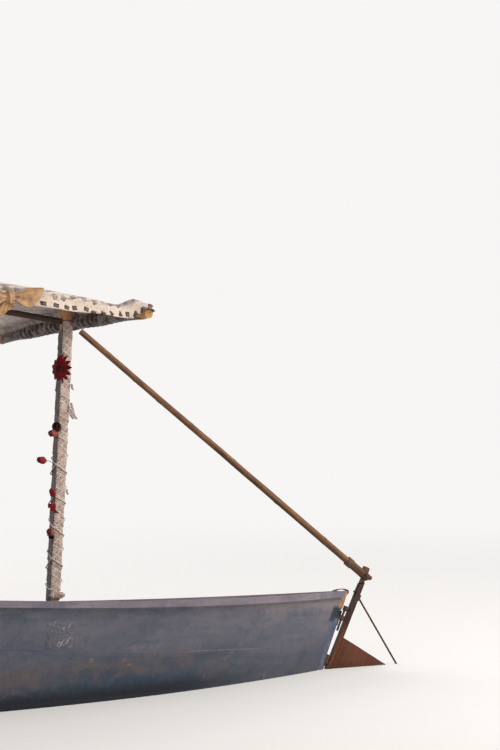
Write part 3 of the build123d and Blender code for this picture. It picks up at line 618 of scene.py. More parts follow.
@dataclass(frozen=True)
class PrintedCotton(Finish):
    """Cream cotton printed with dark tiles, hearts and sprigs, read from the UV map in metres, with painted
    shade on the rolled hems and the top.
    """

    ground: Colour
    ink: Colour
    second: Colour
    pitch: float = 0.052
    hems: tuple[float, float] = (0.19, 2.27)
    flaps: tuple[float, float] = (0.048, 1.896)
    threads: float = 5200.0

    @staticmethod
    def distance(x: Sock, y: Sock) -> Sock:
        """Length of a flat vector."""
        return (x * x + y * y) ** 0.5

    def motifs(self, g: Graph, uv: Sock, rough: Sock) -> Sock:
        """Where ink lies: each cell holds a tile, a heart or a sprig.

        Args:
            g: the graph.
            uv: flat coordinates in metres.
            rough: raggedness of the ink's edge, in metres.

        Returns:
            The share of ink.
        """
        scale = 1.0 / self.pitch
        middle = g.cells(uv, scale, out="Position", jitter=0.36, flat=True)
        chance = g.cells(uv, scale, out="Color", jitter=0.36, flat=True)
        pick, turn = g.axis(0, chance), g.axis(1, chance)
        away = g.add("VectorMath", {"operation": "SUBTRACT"}, {0: uv, 1: middle})
        spun = g.add(
            "VectorRotate", {"rotation_type": "Z_AXIS"}, {"Vector": away, "Angle": (turn - 0.5) * 0.9}
        )
        x, y = g.axis(0, spun), g.axis(1, spun)
        wide = x.magnitude()
        box = (wide * 1.15).high(y.magnitude()) + rough
        tile = box.step(0.0134, 0.0122) * (1.0 - (self.distance(x, y + 0.003) + rough).step(0.0024, 0.0014))
        heart = (self.distance(wide, y - wide * 0.75) + rough).step(0.0132, 0.0120)
        heads = self.distance(wide - 0.0080, y - 0.0020).low(self.distance(x, y - 0.0085)) + rough
        stem = wide.high((y + 0.006).magnitude() * 0.24) + rough * 0.6
        leaf = self.distance(wide - 0.0055, (y + 0.0085) * 1.6) + rough
        sprig = heads.step(0.0076, 0.0064).high(stem.step(0.0034, 0.0024)).high(leaf.step(0.0058, 0.0048))
        first = tile * pick.step(0.34, 0.33)
        third = sprig * pick.step(0.62, 0.63)
        between = heart * pick.step(0.33, 0.34) * pick.step(0.63, 0.62)
        return first.high(third).high(between)

    def draw(self, g: Graph) -> None:
        """Draw the look.

        Args:
            g: the material's graph.
        """
        uv = g.place(uv=True)
        soft = g.noise(uv, 3.0, 4, 0.6, 0.3)
        cloudy = g.noise(uv, 14.0, 5, 0.6)
        rough = (g.noise(uv, 190, 3, 0.6) - 0.5) * 0.0050
        ink = self.motifs(g, uv, rough)
        apart = self.pitch / 2.3
        dots = (g.cells(uv, 1 / apart, jitter=0.95, flat=True) * apart + rough).step(0.0030, 0.0022)
        fade = g.noise(uv, 55, 4, 0.6)
        weave = (g.axis(0, uv) * self.threads).sine() * (g.axis(1, uv) * self.threads).sine()
        colour = g.coats(
            self.ground,
            (soft.step(0.42, 0.70) * 0.40, (0.66, 0.50, 0.40)),
            (cloudy.step(0.52, 0.80) * 0.30, (0.56, 0.43, 0.36)),
        )
        across, along = g.axis(0, uv), g.axis(1, uv)
        (aft, fore), (starboard, port) = self.hems, self.flaps
        # Painted shade: the rolled hems get a darker ground and dark blotches.
        rolled = along.step(aft, aft - 0.03).high(along.step(fore, fore + 0.03))
        # Painted shade: cool mauve streaks over the top and its rounded shoulders, where the print is also
        # laid fainter.
        top = across.step(starboard - 0.01, starboard + 0.01) * across.step(port + 0.01, port - 0.01)
        streak = g.noise(g.place((64, 4, 1), (0, 0, 0.18), uv=True), 1.0, 4, 0.6, 0.8)
        colour = g.coats(
            colour,
            (top * streak.step(0.45, 0.57) * 0.80, (0.250, 0.198, 0.228)),
            (rolled * 0.86, (0.150, 0.104, 0.088)),
            (rolled * (cloudy + (fade - 0.5) * 0.35).step(0.46, 0.52) * 0.92, self.ink),
            (dots * 0.6, self.second),
            (
                ink * (0.97 - fade.step(0.55, 0.75) * 0.25) * (1.0 - top * 0.45),
                g.mix(fade.step(0.40, 0.60), self.ink, self.second),
            ),
        )
        g.finish(
            colour,
            0.86,
            g.bump(weave * 0.5 + cloudy * 0.6, 0.30, 0.0012),
            Sheen_Weight=0.25,
            Sheen_Roughness=0.5,
        )


@dataclass(frozen=True)
class SatinCloth(Finish):
    """Soft satin with a lengthwise sheen and small crumples."""

    base: Colour
    deep: Colour
    rough: float = 0.42

    def draw(self, g: Graph) -> None:
        """Draw the look.

        Args:
            g: the material's graph.
        """
        crumple = g.noise(g.place(), 28, 4, 0.55, 0.6)
        thread = g.noise(g.place((1, 1, 18)), 160, 3, 0.5)
        colour = g.coats(
            self.base,
            (crumple.step(0.35, 0.70), self.deep),
            (thread.step(0.45, 0.75) * 0.25, self.deep),
        )
        rough = self.rough + crumple * 0.15
        g.finish(colour, rough, g.bump(crumple * 0.8 + thread * 0.3, 0.35, 0.002), Sheen_Weight=0.5)


@dataclass(frozen=True)
class CrochetLace(Finish):
    """Crocheted cotton: an uneven net under crossing bands, with the wood's brown in its holes and painted
    shade on the post's fore face.
    """

    thread: Colour
    shade: Colour
    pitch: float = 0.0085
    band: float = 0.036

    def stripes(self, along: Sock, around: Sock, slant: float, wave: Sock) -> Sock:
        """Edges of the bands that run one way round the post.

        Args:
            along: distance up the post.
            around: distance round it.
            slant: rise of a band for each metre round.
            wave: waver of the edges.

        Returns:
            1 on an edge, 0 between.
        """
        share = (along + around * slant + wave) / self.band
        return (share - share.floor() - 0.5).magnitude().step(0.36, 0.45)

    def draw(self, g: Graph) -> None:
        """Draw the look.

        Args:
            g: the material's graph.
        """
        uv = g.place(uv=True)
        around, along = g.axis(0, uv), g.axis(1, uv)
        wave = (g.noise(uv, 26, 3, 0.55) - 0.5) * 0.030
        bent = g.add(
            "VectorMath",
            {"operation": "ADD"},
            {0: uv, 1: g.add("CombineXYZ", None, {0: wave, 1: wave * -0.7})},
        )
        edges = g.cells(bent, 1.0 / self.pitch, "DISTANCE_TO_EDGE", jitter=0.9, flat=True)
        fluff = g.noise(uv, 480, 3, 0.6)
        dirt = g.noise(uv, 9, 5, 0.6, 0.4)
        worn = g.noise(g.place((1, 1.6, 1), uv=True), 16, 3, 0.5)
        bands = self.stripes(along, around, 0.55, wave).high(self.stripes(along, around, -0.80, wave * 1.3))
        hole = (edges + (fluff - 0.5) * 0.08).step(0.13, 0.26) * worn.step(0.36, 0.54) * (1.0 - bands * 0.9)
        # Painted shade: the wrap's fore face is darkened nearly to black.
        fore = (g.axis(0) + g.axis(2) * POST_LEAN + 1.18).step(0.0245, 0.0290)
        colour = g.coats(
            self.thread,
            (hole, self.shade),
            (bands * 0.45, (0.70, 0.59, 0.52)),
            (dirt.step(0.46, 0.72) * 0.50, (0.34, 0.21, 0.14)),
            (fore * 0.88, (0.074, 0.060, 0.066)),
        )
        height = (1.0 - hole) * 0.7 + bands * 0.8 + fluff * 0.25
        g.finish(colour, 0.9, g.bump(height, 0.8, 0.0030), Sheen_Weight=0.3)


@dataclass(frozen=True)
class PetalCloth(Finish):
    """Dyed cloth or felt of the artificial flowers."""

    base: Colour
    deep: Colour

    def draw(self, g: Graph) -> None:
        """Draw the look.

        Args:
            g: the material's graph.
        """
        blot = g.noise(g.place(), 55, 4, 0.6)
        fibre = g.noise(g.place(), 700, 3, 0.6)
        colour = g.mix(blot.step(0.35, 0.70), self.base, self.deep)
        g.finish(
            colour,
            0.75,
            g.bump(fibre * 0.5 + blot * 0.5, 0.4, 0.001),
            Sheen_Weight=0.1,
            Specular_IOR_Level=0.25,
        )


@dataclass(frozen=True)
class TwistedCord(Finish):
    """Cotton or hemp cord with a fine twist."""

    base: Colour
    deep: Colour

    def draw(self, g: Graph) -> None:
        """Draw the look.

        Args:
            g: the material's graph.
        """
        twist = g.noise(g.place((1, 1, 3)), 210, 3, 0.5, 0.8)
        dirt = g.noise(g.place(), 20, 4, 0.6)
        colour = g.coats(
            self.deep,
            (twist.step(0.40, 0.62), self.base),
            (dirt.step(0.5, 0.75) * 0.4, self.deep),
        )
        g.finish(colour, 0.88, g.bump(twist, 0.7, 0.0012))


HULL_PAINT = OldPaint(
    "hull_paint", (0.090, 0.094, 0.124), (0.158, 0.142, 0.160), (0.044, 0.062, 0.100), foot=1.0
)
BOTTOM_PAINT = OldPaint(
    "bottom_paint", (0.030, 0.040, 0.060), (0.07, 0.075, 0.085), (0.014, 0.022, 0.034), foot=1.0
)
RAIL_PAINT = OldPaint(
    "rail_paint", (0.175, 0.155, 0.190), (0.285, 0.240, 0.255), (0.110, 0.105, 0.145), wear=0.8
)
INSIDE_PAINT = OldPaint(
    "inside_paint", (0.080, 0.082, 0.100), (0.15, 0.14, 0.15), (0.035, 0.037, 0.050), wear=1.0
)
STERN_TIMBER = WornStern("stern_timber", (0.080, 0.088, 0.125), (0.150, 0.140, 0.165), (0.032, 0.066, 0.170))
STEM_TIMBER = Timber(
    "stem_timber",
    (0.36, 0.22, 0.13),
    (0.13, 0.08, 0.05),
    (14, 14, 1),
    paint=(0.095, 0.108, 0.155),
    paint_share=0.9,
)
BOARD_WOOD = Timber("board_wood", (0.34, 0.24, 0.16), (0.15, 0.10, 0.07), (1, 14, 14), grime=0.6)
SEAT_WOOD = Timber("seat_wood", (0.36, 0.25, 0.17), (0.16, 0.11, 0.075), (14, 1, 14), grime=0.6)
POST_WOOD = Timber("post_wood", (0.74, 0.42, 0.21), (0.42, 0.21, 0.10), (16, 16, 1), grime=0.22)
POLE_WOOD = Timber(
    "pole_wood", (0.27, 0.128, 0.058), (0.080, 0.036, 0.017), (1, 12, 12), (0, 0.66, 0), grime=0.45
)
BAR_WOOD = Timber("bar_wood", (0.78, 0.42, 0.18), (0.42, 0.20, 0.08), (14, 1, 14), grime=0.2)
SLEEVE_WOOD = Timber(
    "sleeve_wood", (0.145, 0.064, 0.032), (0.048, 0.023, 0.013), (1, 12, 12), (0, 0.66, 0), grime=0.6
)
RUDDER_WOOD = RudderWood("rudder_wood", (0.125, 0.040, 0.019), (0.052, 0.017, 0.009))
BLADE_WOOD = RudderWood("blade_wood", (0.118, 0.034, 0.014), (0.072, 0.022, 0.011))
IRON = RustedIron("iron")
# Dark weathered wood, darkened further as painted shade from the cloth over the ridge pole.
RIDGE_WOOD_WEATHERED_AND_SHADED = Timber(
    "ridge_wood_weathered_and_shaded", (0.085, 0.050, 0.034), (0.036, 0.021, 0.015), (1, 14, 14), (0, 0.157, 0), grime=0.6
)
PATCH_PAINT = replace(HULL_PAINT, name="patch_paint", creases=0.85)
AWNING_COTTON = PrintedCotton(
    "awning_cotton", (0.68, 0.565, 0.475), (0.018, 0.012, 0.012), (0.075, 0.032, 0.028)
)
SCARF_SATIN = SatinCloth("scarf_satin", (0.44, 0.225, 0.075), (0.20, 0.095, 0.045))
WRAP_LACE = CrochetLace("wrap_lace", (0.54, 0.420, 0.358), (0.150, 0.082, 0.054))
LOOSE_LACE = CrochetLace("loose_lace", (0.66, 0.53, 0.46), (0.36, 0.26, 0.20))
RED_PETAL = PetalCloth("red_petal", (0.27, 0.006, 0.007), (0.110, 0.002, 0.004))
PINK_PETAL = PetalCloth("pink_petal", (0.36, 0.075, 0.070), (0.130, 0.012, 0.018))
DARK_HEART = PetalCloth("dark_heart", (0.042, 0.007, 0.008), (0.012, 0.004, 0.004))
STALK_GREEN = PetalCloth("stalk_green", (0.10, 0.085, 0.040), (0.05, 0.045, 0.02))
WHITE_CORD = TwistedCord("white_cord", (0.80, 0.72, 0.66), (0.50, 0.40, 0.34))
HEMP_CORD = TwistedCord("hemp_cord", (0.22, 0.125, 0.070), (0.085, 0.048, 0.030))


# Camera, floor and light


@dataclass
class Studio:
    """Camera at the photograph's angle, pale floor along the waterline and soft lamps."""

    eye: Vector = field(default_factory=lambda: Vector((3.78577, 10.92863, 0.65538)))
    right: Vector = field(default_factory=lambda: Vector((-0.870833, 0.489527, -0.044862)))
    forward: Vector = field(default_factory=lambda: Vector((-0.491578, -0.867199, 0.079473)))
    up: Vector = field(default_factory=lambda: Vector((0.0, 0.091261, 0.995827)))
    focal_px: float = 2400.0
    image_px: tuple[int, int] = (500, 750)
    horizon_px: float = 356.0
    floor_half: float = 60.0
    water_half: float = 2.69
    pale: Colour = (0.93, 0.92, 0.91)
    lamps: tuple[tuple[str, Colour, Colour, float, float, Colour], ...] = (
        ("key", (-10.0, 8.0, 8.0), (-1.0, 0, 0.6), 7.0, 1600, (1.0, 0.94, 0.86)),
        ("fill", (9.0, 11.0, 6.0), (-0.5, 0, 0.4), 9.0, 260, (0.95, 0.97, 1.0)),
        ("back", (0.0, -11.0, 8.0), (-0.5, 0, 0.5), 9.0, 700, (1.0, 0.98, 0.95)),
    )

    @property
    def abeam(self) -> Vector:
        """Direction along the floor, square to the keel."""
        return Vector((0, self.up.z, -self.up.y))

    def build(self) -> None:
        """Make the camera, the floor and the lights."""
        self.camera()
        self.floor()
        self.lights()

    def camera(self) -> None:
        """Make the scene's camera."""
        data = bpy.data.cameras.new("photo_camera")
        data.sensor_fit = "HORIZONTAL"
        data.sensor_width = 36.0
        data.lens = self.focal_px / self.image_px[0] * data.sensor_width
        data.shift_y = (self.horizon_px - self.image_px[1] / 2) / self.image_px[0]
        data.clip_end = 300.0
        camera = placed("photo_camera", data)
        turn = Matrix((self.right, self.up, -self.forward)).transposed()
        camera.matrix_world = Matrix.Translation(self.eye) @ turn.to_4x4()
        bpy.context.scene.camera = camera

    def floor(self) -> None:
        """Make the pale floor, level at the leaning boat's waterline."""
        paint = bpy.data.materials.new("pale_floor")
        g = Graph(paint)
        mottle = g.noise(g.place(), 0.8, 3, 0.5)
        away = g.add("VectorMath", {"operation": "LENGTH"}, {0: g.place()}, out="Value")
        far = away.step(4.5, 13.0)
        colour = g.mix(mottle * 0.04, (0.78, 0.77, 0.76), (0.72, 0.71, 0.70))
        g.feed(g.shader.inputs["Emission Color"], g.mix(far, BLACK, self.pale))
        g.finish(g.tint(colour, far), 0.85, Emission_Strength=1.0, Specular_IOR_Level=0.0)
        edge, abeam = self.waterline(), self.abeam

        def place(u: float, v: float) -> Vector:
            """Point between the hull and the floor's far edge."""
            turn = math.tau * u
            far = (Vector((math.cos(turn), 0, 0)) + abeam * math.sin(turn)) * self.floor_half
            return edge(turn).lerp(far, v ** 3)

        mesh = baked("pale_floor", patch(256, 12, place, closed=True))
        mesh.materials.append(paint)
        placed("pale_floor", mesh)

    def waterline(self) -> Callable[[float], Vector]:
        """Edge of the floor round the hull, hidden within the planking.

        Returns:
            The point of the edge at an angle from the bow by port.
        """
        tree, abeam = search_tree("upper_strakes", "lower_strakes", "bilge_strakes"), self.abeam

        def edge(turn: float) -> Vector:
            """Point of the edge at an angle."""
            ahead = Vector((self.water_half * math.cos(turn), 0, 0))
            side = 1 if math.sin(turn) > 0 else -1
            hit = tree.ray_cast(ahead + abeam * side * 3, abeam * -side)[0]
            reach = max(0.0, (hit - ahead).length - 0.009) if hit else 0.0
            return ahead + abeam * side * reach * min(1.0, abs(math.sin(turn)) * 12)

        return edge

    def lamp(self, name: str, place: Colour, aim: Colour, size: float, watts: float, tone: Colour) -> None:
        """Make one square area lamp.

        Args:
            name: its name.
            place: where it hangs.
            aim: the point it looks at.
            size: its side in metres.
            watts: its power.
            tone: its colour.
        """
        data = bpy.data.lights.new(name, "AREA")
        data.size = size
        data.energy = watts
        data.color = tone
        lamp = placed(name, data)
        lamp.location = place
        lamp.rotation_euler = (Vector(aim) - Vector(place)).to_track_quat("-Z", "Y").to_euler()

    def lights(self) -> None:
        """Hang the lamps and set the pale surroundings."""
        for row in self.lamps:
            self.lamp(*row)
        world = bpy.data.worlds.new("pale_world")
        bpy.context.scene.world = world
        g = Graph(world, "MixShader", "OutputWorld")
        camera, glossy, through = (
            g.add("LightPath", out=f"Is {ray} Ray") for ray in ("Camera", "Glossy", "Transmission")
        )
        soft = g.add("Background", None, {0: (0.96, 0.98, 1.0), 1: 0.55})
        pale = g.add("Background", None, {0: self.pale, 1: 1.0})
        for index, value in enumerate((camera.high(glossy).high(through), soft, pale)):
            g.feed(g.shader.inputs[index], value)
        bpy.context.scene.view_settings.view_transform = "Standard"


def placed(name: str, data: bpy.types.ID) -> bpy.types.Object:
    """Put a new object into the scene.

    Args:
        name: its name.
        data: its mesh, lamp or camera.

    Returns:
        The object.
    """
    made = bpy.data.objects.new(name, data)
    bpy.context.scene.collection.objects.link(made)
    return made


def baked(name: str, shape: bmesh.types.BMesh) -> bpy.types.Mesh:
    """Turn a bmesh into a mesh.

    Args:
        name: the mesh's name.
        shape: the bmesh, which is freed.

    Returns:
        The mesh.
    """
    mesh = bpy.data.meshes.new(name)
    shape.to_mesh(mesh)
    shape.free()
    return mesh


def piece(
    name: str,
    shape: bmesh.types.BMesh,
    finish: Finish,
    slot: str,
    body: Body = Body.HULL,
    smooth: bool = True,
) -> bpy.types.Object:
    """Turn a bmesh into a finished piece that rides on a body.

    Args:
        name: the piece's name.
        shape: its mesh, which is freed.
        finish: its finish.
        slot: the record's material slot, which is not used.
        body: the body it rides on.
        smooth: whether its faces are shaded smooth.

    Returns:
        The new object.
    """
    for face in shape.faces:
        face.smooth = smooth
    made = placed(name, baked(name, shape))
    made.data.materials.append(finish.material)
    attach(made, body.value)
    return made


def dress_node(node: str, finish: Finish) -> None:
    """Give a CAD node a finish.

    Args:
        node: the node's name.
        finish: its finish.
    """
    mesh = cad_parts[node].data
    mesh.materials.clear()
    mesh.materials.append(finish.material)


# Geometry helpers


def blend(value: float, start: float, end: float) -> float:
    """Smooth rise from 0 at start to 1 at end."""
    share = min(1.0, max(0.0, (value - start) / (end - start)))
    return share * share * (3 - 2 * share)


def lump(value: float, middle: float, spread: float) -> float:
    """Bell-shaped rise around a middle."""
    return math.exp(-(((value - middle) / spread) ** 2))


def ripple(x: float, y: float, z: float = 0.0) -> float:
    """Smooth noise from about -1 to 1."""
    return noise.noise(Vector((x, y, z)))


def seam_z(x: float | Sock) -> float | Sock:
    """Height of the planking's middle seam, for a number or in a shader."""
    along = x + 3.3
    return 0.0727 + along * 0.0233 + along * along * 0.0140


def post_x(z: float) -> float:
    """X of the after post's middle at a height."""
    return POST_FOOT_X - POST_LEAN * (z - POST_FOOT_Z)


def patch(
    across: int,
    along: int,
    place: Callable[[float, float], Vector],
    flat: tuple[float, float] = (1, 1),
    closed: bool = False,
    spread: Callable[[float], float] = float,
) -> bmesh.types.BMesh:
    """Grid that a function bends into a surface.

    Args:
        across: faces along u.
        along: faces along v.
        place: point for u and v from 0 to 1.
        flat: size of the UV map in metres.
        closed: whether the edges at u of 0 and 1 meet and are joined.
        spread: share of the flat length that lies below a share v of the faces.

    Returns:
        The surface.
    """
    shape = bmesh.new()
    bmesh.ops.create_grid(shape, x_segments=across, y_segments=along, size=0.5)
    layer = shape.loops.layers.uv.new("flat")
    for face in shape.faces:
        for loop in face.loops:
            loop[layer].uv = ((loop.vert.co.x + 0.5) * flat[0], spread(loop.vert.co.y + 0.5) * flat[1])
    for vert in shape.verts:
        vert.co = place(vert.co.x + 0.5, vert.co.y + 0.5)
    if closed:
        bmesh.ops.remove_doubles(shape, verts=shape.verts, dist=1e-6)
    bmesh.ops.recalc_face_normals(shape, faces=shape.faces)
    return shape


def tube(
    path: Callable[[float], Vector], radius: Callable[[float, float], float], along: int, around: int
) -> bmesh.types.BMesh:
    """Round tube along a path, with closed ends.

    Args:
        path: centre for a share from 0 to 1.
        radius: radius for a share and an angle.
        along: faces along the path.
        around: faces around it.

    Returns:
        The tube.
    """

    def place(u: float, v: float) -> Vector:
        """Point on the tube's skin."""
        low, high = path(max(0.0, v - 0.002)), path(min(1.0, v + 0.002))
        ahead = (high - low).normalized()
        aid = Vector((0.13, 0.2, 1)) if abs(ahead.z) < 0.8 else Vector((1, 0.1, 0))
        side = ahead.cross(aid).normalized()
        up = side.cross(ahead)
        angle = math.tau * u
        return path(v) + (side * math.cos(angle) + up * math.sin(angle)) * radius(v, angle)

    shape = patch(around, along, place, closed=True)
    bmesh.ops.holes_fill(shape, edges=[e for e in shape.edges if e.is_boundary])
    bmesh.ops.recalc_face_normals(shape, faces=shape.faces)
    return shape


def between(a: Vector, b: Vector) -> Callable[[float], Vector]:
    """Straight path from a to b."""
    return lambda share: a.lerp(b, share)


def joined(shapes: Iterable[bmesh.types.BMesh]) -> bmesh.types.BMesh:
    """Put several meshes into one, and free them."""
    whole = bmesh.new()
    for shape in shapes:
        mesh = baked("part", shape)
        whole.from_mesh(mesh)
        bpy.data.meshes.remove(mesh)
    return whole


def moved(shape: bmesh.types.BMesh, matrix: Matrix) -> bmesh.types.BMesh:
    """Transform a mesh in place."""
    bmesh.ops.transform(shape, matrix=matrix, verts=shape.verts)
    return shape


def thickened(shape: bmesh.types.BMesh, thickness: float) -> bmesh.types.BMesh:
    """Give a cloth or sheet its thickness, in place."""
    bmesh.ops.solidify(shape, geom=shape.faces[:], thickness=thickness)
    return shape


def facing(place: Vector, ahead: Vector, roll: float = 0.0) -> Matrix:
    """Matrix that puts an object's +Z along a direction at a place.

    Args:
        place: where its origin goes.
        ahead: where its +Z points.
        roll: turn about that direction.

    Returns:
        The matrix.
    """
    turn = ahead.to_track_quat("Z", "Y").to_matrix().to_4x4()
    return Matrix.Translation(place) @ turn @ Matrix.Rotation(roll, 4, "Z")


def slab(size: Vector, bevel: float, segments: int = 2) -> bmesh.types.BMesh:
    """Bevelled block about the origin.

    Args:
        size: its sides.
        bevel: width of the rounded edges.
        segments: bevel faces.

    Returns:
        The block.
    """
    shape = bmesh.new()
    bmesh.ops.create_cube(shape, size=1)
    bmesh.ops.scale(shape, vec=size, verts=shape.verts)
    bmesh.ops.bevel(
        shape, geom=shape.edges[:], offset=bevel, segments=segments, profile=0.5, affect="EDGES", material=-1
    )
    return shape


def dome(radius: float, height: float, segments: int) -> bmesh.types.BMesh:
    """Low round head, as of a nail, that stands on the X-Y plane."""
    shape = bmesh.new()
    bmesh.ops.create_uvsphere(shape, u_segments=segments, v_segments=8, radius=radius)
    geom = shape.verts[:] + shape.edges[:] + shape.faces[:]
    bmesh.ops.bisect_plane(
        shape, geom=geom, plane_co=(0, 0, -radius * 0.1), plane_no=(0, 0, 1), clear_inner=True
    )
    bmesh.ops.scale(shape, vec=(1, 1, height / radius), verts=shape.verts)
    return shape


def node_mesh(node: str) -> bmesh.types.BMesh:
    """Clean copy of a CAD node's mesh, with its doubles merged and its flats whole."""
    shape = bmesh.new()
    shape.from_mesh(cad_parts[node].data)
    bmesh.ops.remove_doubles(shape, verts=shape.verts, dist=2e-5)
    bmesh.ops.recalc_face_normals(shape, faces=shape.faces)
    return shape


def search_tree(*nodes: str) -> BVHTree:
    """Search tree of some CAD nodes.

    Args:
        nodes: their names.

    Returns:
        The tree.
    """
    shape = joined(node_mesh(node) for node in nodes)
    tree = BVHTree.FromBMesh(shape)
    shape.free()
    return tree


@dataclass
class WornTimber:
    """Copy of a CAD timber with eased edges and hand-worked, slightly wavy faces.

    Attributes:
        ease: width of the rounded edges.
        cut, axis: distance between cuts across the length, and the axis along it.
        waver: depth of the waves.
    """

    node: str
    finish: Finish
    slot: str
    body: Body = Body.HULL
    ease: float = 0.003
    cut: float = 0.05
    axis: int = 0
    waver: float = 0.0012

    def build(self) -> bpy.types.Object:
        """Make the piece and hide the node it stands for.

        Returns:
            The new piece.
        """
        shape = node_mesh(self.node)
        bmesh.ops.dissolve_limit(shape, angle_limit=0.01, verts=shape.verts, edges=shape.edges)
        sharp = [e for e in shape.edges if len(e.link_faces) == 2 and e.calc_face_angle(0) > 0.45]
        bmesh.ops.bevel(
            shape,
            geom=sharp,
            offset=self.ease,
            segments=2,
            profile=0.5,
            affect="EDGES",
            material=-1,
            clamp_overlap=True,
        )
        if self.cut:
            self.slice(shape)
        for vert in shape.verts:
            p = vert.co * 9
            push = ripple(p.x, p.y, p.z) + 0.5 * ripple(p.x * 3, p.y * 3, p.z * 3)
            vert.co -= vert.normal * self.waver * (0.7 + push * 0.7)
        bmesh.ops.triangulate(shape, faces=[f for f in shape.faces if len(f.verts) > 4])
        made = piece(self.node + "_worn", shape, self.finish, self.slot, self.body)
        made.data.set_sharp_from_angle(angle=0.7)
        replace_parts(made, self.node)
        return made

    def slice(self, shape: bmesh.types.BMesh) -> None:
        """Cut the mesh across its length so that its faces can waver."""
        low = min(v.co[self.axis] for v in shape.verts)
        high = max(v.co[self.axis] for v in shape.verts)
        normal = Vector((0, 0, 0))
        normal[self.axis] = 1
        for step in range(1, int((high - low) / self.cut) + 1):
            at = Vector((0, 0, 0))
            at[self.axis] = low + step * self.cut
            geom = shape.verts[:] + shape.edges[:] + shape.faces[:]
            bmesh.ops.bisect_plane(shape, geom=geom, plane_co=at, plane_no=normal)
        shape.normal_update()


# Hull


@dataclass
class Hull:
    """Planking, backbone, rails and inside timbers, with their nails and a canvas patch.

    Attributes:
        plain: finish and names of the nodes that keep their CAD shape.
        rail_nails: first place, pitch and count of the rail's nails.
        strap_knots: distance forward and height along the sprung strap.
    """

    plain: tuple[tuple[Finish, tuple[str, ...]], ...] = (
        (HULL_PAINT, ("upper_strakes", "lower_strakes")),
        (BOTTOM_PAINT, ("bilge_strakes", "garboards", "keel")),
        (INSIDE_PAINT, ("ribs", "thwart_risers")),
        (RAIL_PAINT, ("inwales", "rub_rails")),
        (SEAT_WOOD, ("floor_bearers",)),
        (IRON, ("upper_gudgeon", "lower_gudgeon")),
    )
    ribs_from: float = -2.04
    rib_pitch: float = 0.34
    rib_count: int = 13
    rail_nails: tuple[float, float, int] = (-2.72, 0.163, 34)
    nail_radius: float = 0.0052
    nail_height: float = 0.0022
    patch_middle: tuple[float, float] = (-0.945, 0.290)
    patch_size: tuple[float, float] = (0.15, 0.13)
    strap_knots: tuple[tuple[float, float], ...] = (
        (-2.852, 0.4085), (-2.880, 0.4150), (-2.908, 0.4165), (-2.930, 0.4110),
        (-2.940, 0.4040), (-2.9405, 0.3930), (-2.933, 0.3830),
    )

    def build(self) -> None:
        """Dress the nodes, refine the timbers and add the fastenings."""
        for finish, nodes in self.plain:
            for node in nodes:
                dress_node(node, finish)
        for timber in (
            WornTimber("sternpost", STERN_TIMBER, "timber_weathered", axis=2, ease=0.004, waver=0.002),
            WornTimber("stem", STEM_TIMBER, "hull_paint", axis=2, ease=0.004, waver=0.002),
            WornTimber("thwarts", SEAT_WOOD, "bare_wood", axis=1, ease=0.005),
            WornTimber("floorboards", BOARD_WOOD, "bare_wood", cut=0.12),
            WornTimber("aft_breasthook", RAIL_PAINT, "rail_paint", ease=0.004),
            WornTimber("fore_breasthook", RAIL_PAINT, "rail_paint", ease=0.004),
            WornTimber("post_steps", BOARD_WOOD, "bare_wood", ease=0.004),
        ):
            timber.build()
        self.skin = search_tree("upper_strakes", "lower_strakes", "rub_rails")
        self.nails()
        self.cloth_patch()
        self.strap()

    def strap(self) -> None:
        """Make the iron strap that is sprung up over the sternpost's head."""
        knots = [Vector((x, 0, z)) for x, z in self.strap_knots]

        def path(share: float) -> Vector:
            """Point on the strap's middle."""
            at = share * (len(knots) - 1)
            index = min(int(at), len(knots) - 2)
            return knots[index].lerp(knots[index + 1], blend(at - index, -0.2, 1.2))

        def place(u: float, v: float) -> Vector:
            """Point on the strap."""
            wide = 0.030 * (1 - 0.25 * blend(v, 0.7, 1.0))
            return path(v) + Vector((0, (u - 0.5) * wide, 0.0006 * ripple(u * 3, v * 9)))

        shape = thickened(patch(6, 48, place), 0.0035)
        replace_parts(piece("sprung_strap", shape, IRON, "iron"), "sternhead_strap")

    def outside(self, x: float, z: float, side: int) -> tuple[Vector, Vector] | None:
        """Point and normal of the planking, seen from the side.

        Args:
            x: how far forward.
            z: how high.
            side: 1 for port, -1 for starboard.

        Returns:
            The point and the outward normal, or nothing beyond the hull.
        """
        hit, normal, _, _ = self.skin.ray_cast(Vector((x, side * 2, z)), Vector((0, -side, 0)))
        if hit is None:
            return None
        return hit, normal if normal.y * side > 0 else -normal

    def nails(self) -> None:
        """Rivet heads where the planks cross the ribs, and along the rails."""
        places = []
        for index in range(self.rib_count):
            x = self.ribs_from + index * self.rib_pitch
            seam = seam_z(x)
            places += [
                (x + 0.006, seam + 0.028), (x - 0.005, seam - 0.026), (x, seam + 0.15),
                (x + 0.004, seam - 0.13),
            ]
        start, pitch, count = self.rail_nails
        rail = [(x, self.rail_middle(x)) for x in (start + step * pitch for step in range(count))]
        for name, finish, slot, spots in (
            ("rivet_heads", HULL_PAINT, "hull_paint", places),
            ("rail_rivets", RAIL_PAINT, "rail_paint", rail),
        ):
            found = [self.outside(x, z, side) for side in SIDES for x, z in spots]
            heads = [
                moved(dome(self.nail_radius, self.nail_height, 8), facing(hit - normal * 0.0004, normal))
                for hit, normal in filter(None, found)
            ]
            piece(name, joined(heads), finish, slot)

    @staticmethod
    def rail_middle(x: float) -> float:
        """Height of the rub rail's middle.

        Args:
            x: how far forward.

        Returns:
            The height in metres.
        """
        knots = ((-3.3, 0.412), (-2.0, 0.408), (-0.6, 0.466), (3.5, 0.850))
        total = 0.0
        for i, (xi, zi) in enumerate(knots):
            share = 1.0
            for j, (xj, _) in enumerate(knots):
                if i != j:
                    share *= (x - xj) / (xi - xj)
            total += zi * share
        return total - 0.018

    def cloth_patch(self) -> None:
        """Wrinkled canvas patch, painted over, on the port side."""
        mid_x, mid_z = self.patch_middle
        wide, high = self.patch_size

